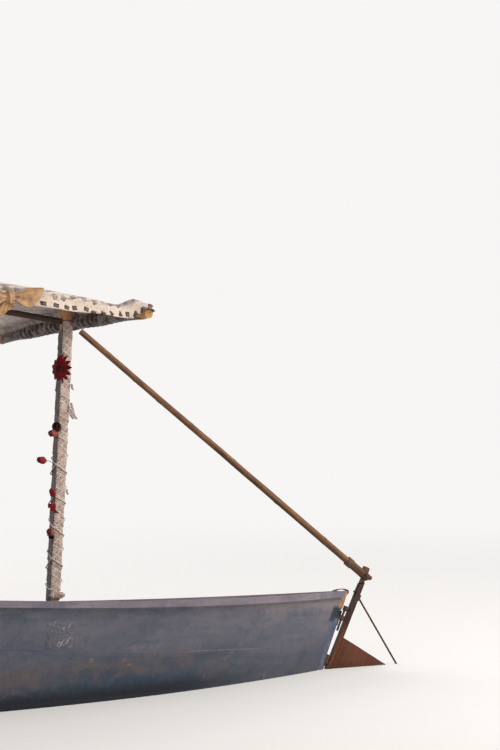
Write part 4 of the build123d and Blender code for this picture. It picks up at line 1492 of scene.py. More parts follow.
        def place(u: float, v: float) -> Vector:
            """Point on the patch."""
            edge = 0.012 * ripple(u * 4, v * 4, 3.0)
            x = mid_x + (u - 0.5) * wide * (1 + edge * 4) + edge
            z = mid_z + (v - 0.5) * high + 0.010 * ripple(u * 5, v * 3, 8.0)
            found = self.outside(x, z, 1)
            hit, normal = found if found else (Vector((x, 0.8, z)), Vector((0, 1, 0)))
            rim = min(blend(min(u, 1 - u), 0.0, 0.06), blend(min(v, 1 - v), 0.0, 0.08))
            folds = abs(ripple(u * 6 + v * 3, v * 5 - u * 2, 1.0)) ** 0.7
            folds += 0.6 * abs(ripple(u * 13, v * 12, 5.0))
            return hit + normal * (0.0006 + rim * (0.0012 + 0.0046 * folds))

        shape = patch(60, 50, place, self.patch_size)
        made = piece("canvas_patch", shape, PATCH_PAINT, "hull_paint")


# Awning


@dataclass
class Awning:
    """Printed cloth over the posts' poles, with its hems rolled round both crossbars.

    Attributes:
        half, roll_half, bar_half: reach of the cloth, the rolled hems and the bars to starboard and port.
        sections: distance ahead of the after bar, the crown's rise, the edge's drop and the flap's depth.
    """

    aft_x: float = -1.3992
    fore_x: float = 0.6878
    aft_z: float = 1.812
    ridge_z: float = 1.820
    ridge_slope: float = 0.158
    under_ridge: float = 0.0404
    drop: float = 0.032
    length: float = 2.46
    half: tuple[float, float] = (0.934, 0.834)
    flap: float = 0.088
    roll: float = 0.0285
    roll_half: tuple[float, float] = (0.930, 0.762)
    hem_sweep: float = 5.6
    hem_faces: float = 0.16
    hem_share: float = 0.080
    bar_half: tuple[float, float] = (0.9595, 0.8275)
    sections: tuple[tuple[float, float, float, float], ...] = (
        (-0.060, 0.020, 0.000, 0.030),
        (0.000, 0.072, 0.048, 0.034),
        (0.030, 0.079, 0.057, 0.046),
        (0.055, 0.076, 0.060, 0.064),
        (0.100, 0.068, 0.060, 0.084),
        (0.165, 0.056, 0.061, 0.058),
        (0.268, 0.041, 0.036, 0.067),
        (0.398, 0.027, 0.019, 0.082),
        (0.558, 0.024, 0.016, 0.088),
        (1.687, 0.024, 0.018, 0.088),
        (2.020, 0.024, 0.023, 0.060),
        (2.200, 0.024, 0.027, 0.034),
    )

    @property
    def span(self) -> float:
        """Distance between the two crossbars."""
        return self.fore_x - self.aft_x

    def section(self, ahead: float) -> tuple[float, float, float]:
        """Rise of the crown, drop to the edge and depth of the flap.

        Args:
            ahead: distance forward of the after crossbar.

        Returns:
            The three sizes in metres.
        """
        rows = self.sections
        for low, high in zip(rows, rows[1:]):
            if ahead <= high[0] or high is rows[-1]:
                share = min(1.0, max(0.0, (ahead - low[0]) / (high[0] - low[0])))
                return tuple(a + (b - a) * share for a, b in zip(low[1:], high[1:]))
        return rows[-1][1:]

    def bar_z(self, fore: bool, y: float) -> float:
        """Height of a crossbar's middle abeam of the centreline.

        Args:
            fore: whether it is the fore bar.
            y: distance to port.

        Returns:
            The height.
        """
        if fore:
            return self.ridge_z + self.ridge_slope * self.span - self.under_ridge - self.drop * y
        bow = 0.021 * (1 - ((y - 0.05) / 0.87) ** 2) - 0.008
        return self.aft_z + bow - self.drop * y

    def roof(self, ahead: float, side: float) -> Vector:
        """Point of the cloth between the two bars.

        Args:
            ahead: distance forward of the after crossbar.
            side: distance across the flat cloth from its middle, port positive.

        Returns:
            The point.
        """
        rise, fall, flap = self.section(ahead)
        sign = 1 if side > 0 else -1
        own = self.half[side > 0]
        reach = abs(side) * (own + flap) / (own + self.flap)
        crown = self.ridge_z + self.ridge_slope * ahead + rise
        bar_near = lump(ahead, 0.0, 0.075) + lump(ahead, self.span, 0.06)
        half = own + 0.030 * bar_near
        share = (math.hypot(reach, 0.03) - 0.03) / half
        top = Vector((0, reach, crown - fall * share))
        down = reach - half
        hang = Vector((0, half + 0.30 * down, crown - fall - 0.955 * down))
        turned = blend(reach, half - 0.045, half + 0.050)
        point = top.lerp(hang, turned)
        sag = math.sin(math.pi * min(1, max(0, ahead / self.span)))
        pleats = math.sin(side * math.tau / 0.064 + 2.2 * ripple(side * 5, ahead * 2))
        fade = math.exp(-max(0.0, ahead - 0.02) / 0.13) + math.exp(-max(0.0, self.span - 0.02 - ahead) / 0.13)
        lift = 0.0030 * pleats * fade
        lift += 0.0075 * ripple(side * 3.1 + ahead, ahead * 2.3 - side, 2.0) * sag
        lift += 0.0030 * ripple(side * 9 - ahead * 4, ahead * 6 + side * 3, 5.0) * min(1, sag * 3)
        lift -= 0.010 * sag * math.sin(math.pi * min(1.0, reach / own)) ** 2
        wave = math.sin(ahead * math.tau / 0.23 + sign + 1.5 * ripple(ahead * 3, sign))
        crimp = math.sin(down * math.tau / 0.026 + 3 * ripple(ahead * 4, 8.0))
        swing = turned * 0.009 * wave * blend(down, -0.01, 0.07)
        swing += turned * (0.004 * ripple(ahead * 18, side * 6, 4.0) + 0.0024 * crimp)
        swing += lump(ahead, 0.015, 0.035) * 0.012 * blend(reach, own - 0.05, own + 0.03)
        hem_dip = 0.006 * ripple(ahead * 5, sign * 3.0, 7.0) * blend(down, 0, 0.08)
        tip = lump(ahead, 0.090, 0.050) * lump(reach, own + 0.02, 0.085) * (0.030 if sign > 0 else 0.018)
        point.y = sign * (point.y + swing)
        point.x = self.aft_x + ahead + 0.004 * ripple(side * 7, ahead * 7, 9.0) * min(1, sag * 4)
        point.z += lift * (1 - turned) + hem_dip + tip - self.drop * point.y
        return point

    def roll_point(self, fore: bool, side: float, turn: float) -> Vector:
        """Point of a hem that is rolled round a crossbar and bunched by its tie.

        Args:
            fore: whether it is at the fore bar.
            side: distance across the flat cloth.
            turn: angle round the bar, 0 at the free edge and 1 at the top.

        Returns:
            The point.
        """
        hem_end = self.roll_half[side > 0]
        ends = blend(abs(side), hem_end - 0.05, hem_end + 0.15)
        sweep = self.hem_sweep - 2.75 * lump(side, 0, 0.043) - (self.hem_sweep - 1.1) * ends
        angle = math.pi / 2 + (1 - turn) * sweep
        bunch = math.sin(side * math.tau / 0.058 + angle * 0.55 + 2.4 * ripple(side * 6, 1.0))
        fine = math.sin(side * math.tau / 0.023 + angle + 3 * ripple(side * 11, 4.0))
        radius = self.roll + 0.0052 * bunch * (0.35 + 0.65 * blend(turn, 1.0, 0.75)) + 0.0004 * fine
        radius += 0.0025 * ripple(side * 9, angle, 6.0) + 0.0045 * (1 - turn)
        radius += (0.0236 - radius) * blend(abs(side), hem_end - 0.44, hem_end - 0.08)
        if fore:
            angle = math.pi - angle
        own = self.half[side > 0]
        y = side * (own + 0.020) / (own + self.flap) + 0.003 * math.cos(angle) * bunch
        x = self.fore_x if fore else self.aft_x
        return Vector((x + radius * math.cos(angle), y, self.bar_z(fore, y) + radius * math.sin(angle)))

    def point(self, u: float, v: float) -> Vector:
        """Point of the whole sheet.

        Args:
            u: share across, from starboard to port.
            v: share along, from the after hem's free edge.

        Returns:
            The point.
        """
        side = u * (sum(self.half) + 2 * self.flap) - self.half[0] - self.flap
        hem = self.hem_faces
        for fore, inside in ((False, v), (True, 1 - v)):
            if inside < hem:
                turn = inside / hem
                return self.roll_point(fore, side, turn).lerp(
                    self.roof(self.span * fore, side), blend(turn, 0.90, 1.0)
                )
        share = (v - hem) / (1 - 2 * hem)
        return self.roof(self.span * (share - 0.30 * math.sin(math.tau * share) / math.tau), side)

    def flat_share(self, v: float) -> float:
        """Share of the cut's length below a share of the sheet's faces, whose hems are finer."""
        if v < self.hem_faces:
            return v * self.hem_share / self.hem_faces
        if v > 1 - self.hem_faces:
            return 1 - (1 - v) * self.hem_share / self.hem_faces
        return self.hem_share + (v - self.hem_faces) * (1 - 2 * self.hem_share) / (1 - 2 * self.hem_faces)

    def build(self) -> None:
        """Make the cloth, its poles and the lashings."""
        flat = (sum(self.half) + 2 * self.flap, self.length)
        shape = thickened(patch(210, 170, self.point, flat, spread=self.flat_share), 0.0012)
        cloth = piece("awning_cloth", shape, AWNING_COTTON, "awning_cloth")
        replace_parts(cloth, "canopy")
        self.poles()
        self.lashings()

    def poles(self) -> None:
        """Make the two crossbars, the ridge pole and the posts."""
        length = sum(self.bar_half)
        for name, x, fore in (("aft_crossbar", self.aft_x, False), ("fore_crossbar", self.fore_x, True)):

            def path(share: float, x: float = x, fore: bool = fore) -> Vector:
                """Point on the bar's middle."""
                y = share * length - self.bar_half[0]
                return Vector((x, y, self.bar_z(fore, y)))

            self.pole(name, "_pole", path, length, 0.0218, BAR_WOOD, 0.25)
        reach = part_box("ridge_pole")[1].x - 0.004 - self.aft_x
        start, end = (
            Vector((self.aft_x + x, 0, self.ridge_z + self.ridge_slope * x)) for x in (0.074, reach)
        )
        self.pole("ridge_pole", "_round", between(start, end), (end - start).length, 0.0165, RIDGE_WOOD_WEATHERED_AND_SHADED, 0.2)
        for node in ("aft_post", "fore_post"):
            WornTimber(node, POST_WOOD, "post_wood", axis=2, ease=0.004, cut=0.06).build()

    @staticmethod
    def pole(
        node: str,
        suffix: str,
        path: Callable[[float], Vector],
        length: float,
        radius: float,
        finish: Finish,
        knot_pitch: float,
    ) -> None:
        """Make a round pole with knots in place of a CAD rod.

        Args:
            node: the CAD node.
            suffix: end of the piece's name.
            path: its middle, for a share from 0 to 1.
            length: its length.
            radius: its radius.
            finish: its finish.
            knot_pitch: distance between knots.
        """

        def thick(share: float, angle: float) -> float:
            """Radius with flats and knots."""
            along = share * length
            wave = ripple(along * 3, math.cos(angle) * 0.8, math.sin(angle) * 0.8)
            knot = math.sin(along / knot_pitch * math.tau + 2 * ripple(along * 2, 3.0)) ** 8
            return radius * (1 - 0.05 + 0.05 * wave + 0.05 * knot * (0.5 + 0.5 * math.cos(angle - along * 4)))

        shape = tube(path, thick, int(length / 0.02), 20)
        made = piece(node + suffix, shape, finish, "pole_wood")
        made.data.set_sharp_from_angle(angle=0.9)
        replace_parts(made, node)

    def lashings(self) -> None:
        """Wind hemp cord round the poles where they cross the posts."""
        turns = []
        aft_x = post_x(self.aft_z) - 0.024
        for count, x, z, pitch, half, radius, tilt, seed in (
            (2, aft_x, self.bar_z(False, 0) + 0.004, 0.0042, 0.0275, 0.0016, 0.004, 0),
            (5, 0.664, self.bar_z(True, 0) - 0.030, 0.0075, 0.030, 0.0032, -0.012, 7),
        ):
            for index in range(count):
                middle = Vector((x, 0, z + index * pitch))
                turns.append(self.winding(middle, Vector((0.052, half, 0)), radius, tilt, index + seed))
        piece("pole_lashings", joined(turns), HEMP_CORD, "bare_wood")

    @staticmethod
    def winding(middle: Vector, half: Vector, radius: float, tilt: float, seed: int) -> bmesh.types.BMesh:
        """One turn of cord round a squarish bundle.

        Args:
            middle: its middle.
            half: half its length and width.
            radius: the cord's radius.
            tilt: how much one end sits higher.
            seed: number that shifts its waver.

        Returns:
            The closed turn.
        """

        def path(share: float) -> Vector:
            """Point on the turn's centreline."""
            angle = math.tau * share
            c, s = math.cos(angle), math.sin(angle)
            grow = (abs(c) ** 5 + abs(s) ** 5) ** -0.2
            rise = tilt * c + 0.001 * math.sin(3 * angle + seed)
            return middle + Vector((half.x * c * grow, half.y * s * grow, rise))

        def place(u: float, v: float) -> Vector:
            """Point on the cord's skin."""
            here, ahead = path(v), (path(v + 0.01) - path(v - 0.01)).normalized()
            side = ahead.cross(Vector((0, 0, 1))).normalized()
            up = side.cross(ahead)
            angle = math.tau * u
            strand = radius * (1 + 0.10 * math.sin(3 * (angle + v * 60)))
            return here + (side * math.cos(angle) + up * math.sin(angle)) * strand

        return patch(9, 60, place, closed=True)


@dataclass
class Bow:
    """Ribbon tied in a bow: two loops, a knot and tails, in its own X-Z plane with Y towards the viewer.

    Attributes:
        loops, tails: reach of the +X and -X loop, and sideways reach and drop of each tail.
        width, pinch: the ribbon's width, and its share at the knot.
        depth, thick: how far the bow stands out, and the cloth's thickness.
        slant, seed: slant of the -X loop's end, and a number that shifts the folds.
    """

    loops: tuple[float, float]
    width: float
    tails: tuple[tuple[float, float], ...]
    depth: float
    thick: float = 0.0012
    pinch: float = 0.28
    slant: float = 0.0
    seed: float = 0.0

    def loop_shape(self, side: int, droop: float) -> bmesh.types.BMesh:
        """One loop of the bow.

        Args:
            side: 1 or -1 for the side it goes to.
            droop: how far its end hangs.

        Returns:
            The loop.
        """

        def place(u: float, v: float) -> Vector:
            """Point on the loop."""
            angle = math.tau * v
            out = (1 - math.cos(angle)) / 2
            wide = self.width * (self.pinch + (1 - self.pinch) * blend(out, 0.0, 0.75))
            across = (u - 0.5) * wide
            puff = math.sin(angle) * self.depth * 0.5 * (0.55 + 0.45 * out)
            folds = self.width * 0.06 * math.sin(u * 11 + self.seed + side + v * 3) * (1.15 - out)
            folds += self.width * 0.05 * ripple(u * 4 + side, v * 5, self.seed)
            slant = self.slant * (2 * u - 1) * (side < 0)
            x = side * self.loops[side < 0] * out * (1 - 0.10 * (2 * u - 1) ** 2 + slant)
            z = across - droop * out + 0.12 * self.width * ripple(v * 3, side * 2.0, self.seed)
            return Vector((x, self.depth * 0.55 + puff + folds * 0.5, z))

        return patch(22, 64, place, (self.width, self.loops[side < 0] * 2.2))

    def tail_shape(self, ahead: float, drop: float) -> bmesh.types.BMesh:
        """One hanging tail.

        Args:
            ahead: how far sideways its end is.
            drop: how far down its end is.

        Returns:
            The tail.
        """

        def place(u: float, v: float) -> Vector:
            """Point on the tail."""
            wide = self.width * (self.pinch * 0.8 + 0.62 * blend(v, 0, 0.8))
            slant = 0.18 * self.width * (u - 0.5) * blend(v, 0.6, 1)
            fold = 0.10 * self.width * math.sin(u * 9 + self.seed + v * 2) * (1 - 0.3 * v)
            x = ahead * v + (u - 0.5) * wide
            return Vector(
                (x, self.depth * 0.35 + fold * 0.55 + 0.1 * self.depth * math.sin(v * 5), -drop * v - slant)
            )

        return patch(16, 30, place, (self.width, abs(drop) + 0.02))

    def knot_shape(self) -> bmesh.types.BMesh:
        """The crumpled knot in the middle."""
        size = self.width * 0.34

        def place(u: float, v: float) -> Vector:
            """Point on the knot."""
            a, b = math.tau * u, math.pi * (v - 0.5)
            ruck = (
                1 + 0.14 * math.sin(5 * a + self.seed) * math.cos(b)
                + 0.12 * ripple(math.cos(a) * 2, math.sin(a) * 2, b * 2)
            )
            return Vector(
                (
                    size * 0.75 * ruck * math.cos(b) * math.cos(a),
                    self.depth * 0.6 + self.depth * 0.55 * ruck * math.cos(b) * math.sin(a),
                    size * 1.15 * ruck * math.sin(b),
                )
            )

        return patch(36, 20, place, closed=True)

    def build(self) -> tuple[bmesh.types.BMesh, bmesh.types.BMesh]:
        """Make the bow.

        Returns:
            The ribbon and the knot.
        """
        parts = [self.loop_shape(1, self.width * 0.12), self.loop_shape(-1, self.width * 0.05)]
        parts += [self.tail_shape(ahead, drop) for ahead, drop in self.tails]
        ribbon = thickened(joined(parts), self.thick)
        return ribbon, self.knot_shape()


@dataclass
class Scarf:
    """Brown satin scarf tied in a wide bow on the awning's port flap."""

    middle: Vector = field(default_factory=lambda: Vector((-0.660, 0.8625, 1.850)))

    def build(self) -> None:
        """Make the scarf in place of the CAD's."""
        bow = Bow((0.138, 0.158), 0.088, ((0.066, 0.094), (0.020, 0.066)), 0.032, slant=0.20, seed=1.3)
        ribbon, knot = bow.build()
        made = piece("scarf", moved(ribbon, Matrix.Translation(self.middle)), SCARF_SATIN, "scarf_cloth")
        tied = piece("scarf_knot", moved(knot, Matrix.Translation(self.middle)), SCARF_SATIN, "scarf_cloth")
        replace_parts(made, "scarf_bow")


# Post wrap and flowers


def square_ring(angle: float, half: float, power: float = 7.0) -> Vector:
    """Point on a rounded square."""
    c, s = math.cos(angle), math.sin(angle)
    grow = half * (abs(c) ** power + abs(s) ** power) ** (-1 / power)
    return Vector((c * grow, s * grow, 0))


@dataclass
class PostWrap:
    """Crocheted cloth wound round the after post, tied with crossing white cords.

    Attributes:
        low, high, aft_high, fore_high: heights of its foot and of its top's port, after and fore sides.
        half: half its thickness.
        girth, ruffle, net_width: flat sizes of the sleeve, the foot's ruffle and the loose net; net_width is
            not used.
        ends: height, reach, drop and width of each loose end.
    """

    low: float = 0.440
    high: float = 1.832
    aft_high: float = 1.768
    fore_high: float = 1.788
    half: float = 0.0280
    girth: float = 0.23
    ruffle: tuple[float, float] = (0.42, 0.060)
    net_width: float = 0.027
    strip_pitch: float = 0.105
    cord_low: float = 0.49
    cord_high: float = 1.17
    cord_pitch: float = 0.155
    ends: tuple[tuple[float, float, float, float], ...] = (
        (1.416, 0.028, 0.080, 0.027),
        (1.512, 0.008, 0.030, 0.014),
        (1.390, 0.012, 0.054, 0.024),
        (0.985, 0.007, 0.026, 0.014),
    )

    def build(self) -> None:
        """Make the sleeve, the cords, the loose ends and the bundle at the foot."""
        sleeve = thickened(
            patch(44, 420, self.sleeve, (self.girth, self.high - self.low), closed=True), 0.0010
        )
        made = piece("lace_sleeve", sleeve, WRAP_LACE, "wrap_cloth")
        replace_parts(made, "post_wrap")
        piece("wrap_cords", joined(self.cord(side) for side in SIDES), WHITE_CORD, "wrap_cloth")
        self.loose_ends()
        self.foot_bundle()

    def sleeve(self, u: float, v: float) -> Vector:
        """Point on the sleeve.

        Args:
            u: share round the post.
            v: share up it.

        Returns:
            The point.
        """
        angle = math.tau * u
        port = blend(math.sin(angle), 0.60, 0.74)
        other = self.fore_high if math.cos(angle) > 0 else self.aft_high
        high = other + (self.high - other) * port
        z = self.low + (high - self.low) * v
        turn = (z / self.strip_pitch + u) % 1.0
        step = 0.0022 * (1 - turn) + 0.0012 * lump(turn, 0.03, 0.05)
        crumple = 0.0012 * ripple(u * 9, z * 30, 2.0) + 0.0010 * ripple(u * 22, z * 75, 4.0)
        frill = 0.0012 * math.sin(u * math.tau * 9 + z * 40) * lump(turn, 0.0, 0.10)
        here = square_ring(angle, self.half + step + crumple + frill)
        return here + Vector((post_x(z), 0, z + 0.004 * ripple(u * 5, v * 2, 9.0) * (v < 0.02 or v > 0.98)))

    def cord(self, hand: int) -> bmesh.types.BMesh:
        """One cord wound up the lower part of the wrap.

        Args:
            hand: 1 or -1 for the way it winds.

        Returns:
            The cord.
        """
        rounds = (self.cord_high - self.cord_low) / self.cord_pitch

        def path(share: float) -> Vector:
            """Point on the cord's centreline."""
            z = self.cord_low + (self.cord_high - self.cord_low) * share
            angle = hand * math.tau * rounds * share + 0.8 + 0.5 * ripple(share * 9, hand * 2.0)
            return square_ring(angle, self.half + 0.0060 + 0.0008 * hand) + Vector((post_x(z), 0, z))

        return tube(path, lambda v, a: 0.0027 * (1 + 0.15 * math.sin(3 * (a + v * 400))), 520, 8)

    def loose_ends(self) -> None:
        """Make the frayed strip end, a tuft and a thread that stand off the after port corner."""
        strips = []
        for z, out, drop, wide in self.ends:
            root = Vector((post_x(z) - 0.0275, 0.0275, z))

            def place(
                u: float,
                v: float,
                root: Vector = root,
                out: float = out,
                drop: float = drop,
                wide: float = wide,
            ) -> Vector:
                """Point on the loose end."""
                ragged = 1 + 0.30 * ripple(u * 14, 2.0) * blend(v, 0.6, 1.0)
                spread = wide * (1 - 0.45 * v)
                x = -0.003 - out * v * v * ragged + (u - 0.5) * spread * 0.88
                z = -drop * v * ragged - (u - 0.5) * spread * 0.40
                return root + Vector((x, 0.004 + 0.010 * v + 0.004 * math.sin(u * 8 + v * 6), z))

            strips.append(patch(14, 18, place, (wide, drop)))
        shape = thickened(joined(strips), 0.0012)
        ends = piece("loose_ends", shape, LOOSE_LACE, "wrap_cloth")

    def foot_bundle(self) -> None:
        """Make the ruffle of lace that is gathered round the after side of the wrap's foot."""

        def place(u: float, v: float) -> Vector:
            """Point on the ruffle."""
            angle = math.radians(10 + 235 * u)
            full = blend(u, 0.0, 0.12) * blend(u, 1.0, 0.85)
            big = full * (0.60 + 0.40 * lump(u, 0.55, 0.28))
            z = 0.446 + 0.032 * big * v + 0.004 * ripple(u * 20, v * 4) * full
            swell = math.sin(math.pi * min(1.0, v * 0.90 + 0.10)) ** 0.7
            frill = 0.42 * math.sin(u * math.tau * 13 + 2.5 * v) * v + 0.35 * ripple(u * 30, v * 5, 3.0)
            out = self.half + 0.0050 + 0.0165 * big * swell * (1 + frill)
            return square_ring(angle, out, 4.0) + Vector((post_x(z), 0, z))

        shape = thickened(patch(170, 16, place, self.ruffle), 0.0012)
        ruffle = piece("foot_bundle", shape, WRAP_LACE, "wrap_cloth")


@dataclass
class Flowers:
    """Cloth flowers, buds and a ribbon bow pinned up the fore and port faces of the post's wrap."""

    facing_ahead: Vector = field(default_factory=lambda: Vector((0.64, 0.768, 0)))

    def build(self) -> None:
        """Make each flower in place of the CAD heads."""
        made = piece("gerbera_petals", self.gerbera_petals(), RED_PETAL, "flower_cloth")
        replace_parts(made, "flowers")
        piece("dark_hearts", self.hearts(), DARK_HEART, "flower_cloth")
        reds = [
            self.rosebud(self.place(0.950, 0.003), Vector((0.55, 0.35, 0.76)), 0.0165, 0.050),
            self.rosebud(
                Vector((post_x(1.13) + 0.088, 0.034, 1.130)), Vector((0.97, 0.1, 0.10)), 0.0195, 0.052
            ),
        ]
        piece("red_buds", joined(reds), RED_PETAL, "flower_cloth")
        pinks = [
            self.rosebud(self.place(1.272, 0.010), Vector((0.95, 0.2, -0.22)), 0.0210, 0.052),
            self.rosebud(self.place(0.766, 0.006), Vector((0.80, 0.40, 0.45)), 0.0200, 0.038),
        ]
        piece("pink_roses", joined(pinks), PINK_PETAL, "flower_cloth")
        piece("stalks", self.stalks(), STALK_GREEN, "flower_cloth")
        bow = Bow((0.021, 0.019), 0.024, ((0.024, 0.040), (0.002, 0.028)), 0.013, thick=0.0008, seed=4.0)
        ribbon, knot = bow.build()
        turn = (
            facing(self.place(0.908, 0.003) + Vector((0.012, -0.004, 0)), Vector((0, 0, 1)))
            @ Matrix.Rotation(-0.5, 4, "Z")
        )
        tied = piece("red_bow_knot", moved(knot, turn), RED_PETAL, "flower_cloth")
        tails = piece("red_bow", moved(ribbon, turn), RED_PETAL, "flower_cloth")

    def place(self, z: float, out: float) -> Vector:
        """Point off the wrap's fore port corner.

        Args:
            z: its height.
            out: how far it stands off.

        Returns:
            The point.
        """
        return Vector((post_x(z) + 0.0305, 0.0305, z)) + self.facing_ahead * out

    @staticmethod
    def seat(out: float) -> Matrix:
        """Seat of the gerbera on the wrap's fore face.

        Args:
            out: how far it stands off.

        Returns:
            The turn and place.
        """
        ahead = Vector((0.955, 0.292, 0.05)).normalized()
        return facing(Vector((-1.2915, 0.0285, 1.592)) + ahead * out, ahead)

    def gerbera_petals(self) -> bmesh.types.BMesh:
        """Two rings of pointed petals round the heart.

        Returns:
            The petals.
        """
        petals = []
        for ring, (count, length, lift) in enumerate(((13, 0.072, 0.06), (12, 0.056, 0.34))):
            for index in range(count):
                spin = math.tau * (index + 0.5 * ring) / count + 0.12 * ripple(index * 2.7, ring)
                long = length * (1 + 0.10 * ripple(index * 1.9, ring + 4))
                sag = 0.20 * ripple(index * 3.3, ring + 9)

                def place(
                    u: float, v: float, long: float = long, lift: float = lift, sag: float = sag
                ) -> Vector:
                    """Point on one petal."""
                    wide = (
                        0.0250 * (0.35 + 0.65 * math.sin(math.pi * min(1, v * 0.72 + 0.16)))
                        * (1 - blend(v, 0.82, 1.0) * 0.80)
                    )
                    across = (u - 0.5) * wide
                    cup = 0.0035 * (2 * u - 1) ** 2 - 0.0012 * math.cos((u - 0.5) * 18)
                    rise = math.sin(lift) * v * long * 0.5 - (1.0 + sag) * 0.34 * long * v ** 1.4
                    return Vector((0.006 + v * long * 0.94, across, rise + cup))

                petals.append(moved(patch(8, 12, place, (0.018, long)), Matrix.Rotation(spin, 4, "Z")))
        shape = thickened(joined(petals), 0.0009)
        return moved(shape, self.seat(0.0))

    def hearts(self) -> bmesh.types.BMesh:
        """The gerbera's domed heart and the dark calyxes of the roses below it.

        Returns:
            The hearts.
        """
        heart = []
        seat = self.seat(0.002)
        radius, count = 0.0165, 90
        for index in range(count):
            out = radius * math.sqrt((index + 0.5) / count)
            turn = index * GOLDEN_ANGLE
            spot = Vector((out * math.cos(turn), out * math.sin(turn), 0.006 * (1 - (out / radius) ** 2)))
            heart.append(moved(dome(0.0021, 0.0044, 6), seat @ Matrix.Translation(spot)))
        heart.append(moved(dome(0.0170, 0.0085, 20), seat @ Matrix.Translation((0, 0, -0.002))))
        heart.append(self.rosebud(self.place(1.288, 0.001), Vector((0.60, 0.70, 0.38)), 0.0255, 0.046))
        heart.append(self.rosebud(self.place(0.756, 0.000), Vector((0.75, 0.55, -0.2)), 0.0150, 0.024))
        return joined(heart)

    @staticmethod
    def rosebud(root: Vector, ahead: Vector, radius: float, length: float) -> bmesh.types.BMesh:
        """A bud of overlapping petals.

        Args:
            root: the foot of the bud.
            ahead: the way it points.
            radius: its widest radius.
            length: from foot to tip.

        Returns:
            The bud.
        """
        petals = []
        for layer in range(6):
            scale = 1 - 0.13 * layer
            start = layer * 2.4

            def place(
                u: float, v: float, scale: float = scale, start: float = start, layer: int = layer
            ) -> Vector:
                """Point on one petal of the bud."""
                angle = start + (u - 0.5) * 2.7
                belly = math.sin(math.pi * (0.10 + 0.70 * v)) ** 0.8
                flare = 0.22 * blend(v, 0.75, 1.0) * (layer < 3)
                wide = radius * scale * (belly + flare) * (1 - 0.05 * math.sin(angle * 3))
                high = length * (0.02 + (0.86 + 0.03 * layer) * v * (1 - 0.22 * (2 * u - 1) ** 2))
                return Vector((wide * math.cos(angle), wide * math.sin(angle), high))

            petals.append(patch(12, 10, place, (radius * 3, length)))
        shape = thickened(joined(petals), 0.0007)
        return moved(shape, facing(root, ahead.normalized()))

    def stalks(self) -> bmesh.types.BMesh:
        """Stem of the drooping bud and wires behind the roses.

        Returns:
            The stalks.
        """
        start = self.place(1.076, 0.0015)
        end = Vector((post_x(1.13) + 0.094, 0.034, 1.130))

        def path(share: float) -> Vector:
            """Point on the bud's stem."""
            here = start.lerp(end, share)
            return here + Vector((-0.010, 0, 0.018)) * math.sin(math.pi * share)

        parts = [tube(path, lambda v, a: 0.0016, 30, 8)]
        for z in (1.262, 0.948, 0.745):
            a, b = self.place(z, 0.0012), self.place(z - 0.075, 0.0012)
            parts.append(tube(between(a, b), lambda v, a: 0.0013, 10, 7))
        parts.append(self.rosebud(end - Vector((0.004, 0, 0)), Vector((0.97, 0.1, -0.08)), 0.0120, 0.018))
        return joined(parts)


# Rudder and tiller


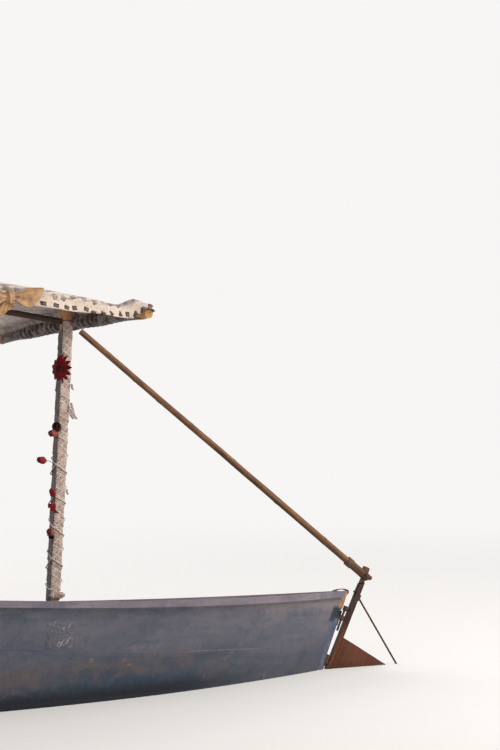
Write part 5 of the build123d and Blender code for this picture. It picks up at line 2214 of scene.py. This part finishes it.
@dataclass
class Steering:
    """Rudder with its irons, and the long knotty tiller pole.

    Attributes:
        reach, knots: ends of the pole and places of its knots, as distances from its pin.
        head_bolts, blade_bolts: heights, and distances ahead of the stock's middle.
    """

    iron_nodes: tuple[str, ...] = ("rudder_head", "stay_rod", "upper_pintle", "lower_pintle", "tiller_pin")
    pin: Vector = field(default_factory=lambda: Vector((-3.049, 0, 0.480)))
    slope: float = 0.8053
    reach: tuple[float, float] = (0.030, 2.0745)
    knots: tuple[float, ...] = (0.31, 0.47, 0.66, 0.80, 0.99, 1.17, 1.30, 1.52, 1.69, 1.88)
    head_bolts: tuple[tuple[float, float], ...] = ((0.420, 0.0), (0.392, 0.0), (0.361, 0.0))
    blade_bolts: tuple[tuple[float, float], ...] = (
        (0.10, -0.030), (0.045, -0.032), (-0.03, -0.034), (-0.02, -0.190), (0.02, -0.135),
    )

    @property
    def ahead(self) -> Vector:
        """Direction of the pole, towards its free end."""
        return Vector((1, 0, self.slope)).normalized()

    @property
    def over(self) -> Vector:
        """Direction square to the pole, upwards."""
        return Vector((-self.slope, 0, 1)).normalized()

    def along(self, reach: float) -> Vector:
        """Point on the tiller's axis at a distance from its pin."""
        return self.pin + self.ahead * reach

    def stock(self, z: float) -> Vector:
        """Middle of the rudder stock at a height."""
        return Vector((STOCK_X - STOCK_LEAN * z, 0, z))

    def build(self) -> None:
        """Dress, refine and fasten the rudder and the tiller."""
        for node in self.iron_nodes:
            dress_node(node, IRON)
        for timber in (
            WornTimber("rudder_stock", RUDDER_WOOD, "rudder_wood", Body.RUDDER, axis=2, cut=0.04),
            WornTimber("rudder_blade", BLADE_WOOD, "rudder_wood", Body.RUDDER, ease=0.004, cut=0.04),
            WornTimber(
                "tiller_sleeve", SLEEVE_WOOD, "sleeve_wood", Body.TILLER, ease=0.002, cut=0.0, waver=0.0008
            ),
        ):
            timber.build()
        self.pole()
        self.fittings()

    def pole(self) -> None:
        """Make the tapering pole with its knots and slight bends."""
        start, end = self.reach

        def path(share: float) -> Vector:
            """Point on the pole's middle."""
            reach = start + (end - start) * share
            free = blend(reach, 0.16, 0.5) * blend(reach, end, end - 0.3)
            bend = 0.0016 * ripple(reach * 1.7, 2.0) + 0.0010 * ripple(reach * 5, 6.0)
            return (
                self.along(reach) + self.over * bend * free
                + Vector((0, 0.002 * ripple(reach * 2, 9.0) * free, 0))
            )

        def thick(share: float, angle: float) -> float:
            """Radius with taper and knots."""
            reach = start + (end - start) * share
            full = 0.0183 - 0.0024 * blend(reach, 0.15, end)
            knot = sum(lump(reach, at, 0.012) * max(0.0, math.cos(angle - at * 7)) for at in self.knots)
            ring = sum(lump(reach, at, 0.008) for at in self.knots[::2])
            free = blend(reach, 0.15, 0.2)
            wave = 0.0006 * ripple(reach * 8, math.cos(angle), math.sin(angle))
            return full * (0.985 - 0.02 * free) + free * (0.0014 * knot + 0.0006 * ring + wave)

        shape = tube(path, thick, 260, 20)
        made = piece("tiller_pole_knotty", shape, POLE_WOOD, "pole_wood", Body.TILLER)
        made.data.set_sharp_from_angle(angle=0.9)
        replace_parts(made, "tiller_pole")

    def fittings(self) -> None:
        """Add the bolts, the socket's wedge and its cord whipping."""
        bolts = [
            moved(
                dome(radius, height, 10),
                facing(self.stock(z) + Vector((x, side * out, 0)), Vector((0, side, 0))),
            )
            for spots, radius, height, out in (
                (self.head_bolts, 0.0052, 0.0035, 0.0134),
                (self.blade_bolts, 0.0055, 0.0028, 0.0099),
            )
            for z, x in spots
            for side in SIDES
        ]
        nub = Matrix.Translation(self.stock(0.392) + Vector((0.019, 0, 0.006))) @ Matrix.Rotation(0.5, 4, "Y")
        bolts.append(moved(slab(Vector((0.014, 0.010, 0.010)), 0.002), nub))
        piece("rudder_bolts", joined(bolts), IRON, "iron", Body.RUDDER)
        ahead, up = self.ahead, self.over
        wedge = slab(Vector((0.038, 0.022, 0.030)), 0.006, 3)
        turn = Matrix((ahead, Vector((0, 1, 0)), up)).transposed().to_4x4()
        moved(
            wedge, Matrix.Translation(self.along(0.010) + up * 0.030) @ turn @ Matrix.Rotation(0.25, 4, "Y")
        )
        piece("socket_wedge", wedge, SLEEVE_WOOD, "sleeve_wood", Body.TILLER, smooth=False)
        rings = []
        for index in range(9):
            centre = self.along(0.098 + index * 0.0042)

            def path(share: float, centre: Vector = centre) -> Vector:
                """Point on a turn of the whipping."""
                angle = math.tau * share
                return centre + (Vector((0, 1, 0)) * math.cos(angle) + up * math.sin(angle)) * 0.0232

            def place(
                u: float, v: float, path: Callable[[float], Vector] = path, centre: Vector = centre
            ) -> Vector:
                """Point on the cord's skin."""
                out = (path(v) - centre).normalized()
                angle = math.tau * u
                return path(v) + (out * math.cos(angle) + ahead * math.sin(angle)) * 0.0021

            rings.append(patch(7, 32, place, closed=True))
        piece("socket_whipping", joined(rings), HEMP_CORD, "sleeve_wood", Body.TILLER)


def main() -> None:
    """Build every sub-assembly in order."""
    logging.basicConfig(level=logging.INFO)
    for part in (Studio(), Hull(), Awning(), Scarf(), PostWrap(), Flowers(), Steering()):
        part.build()
        LOG.info("built %s", type(part).__name__)


if __name__ == "__main__":
    main()
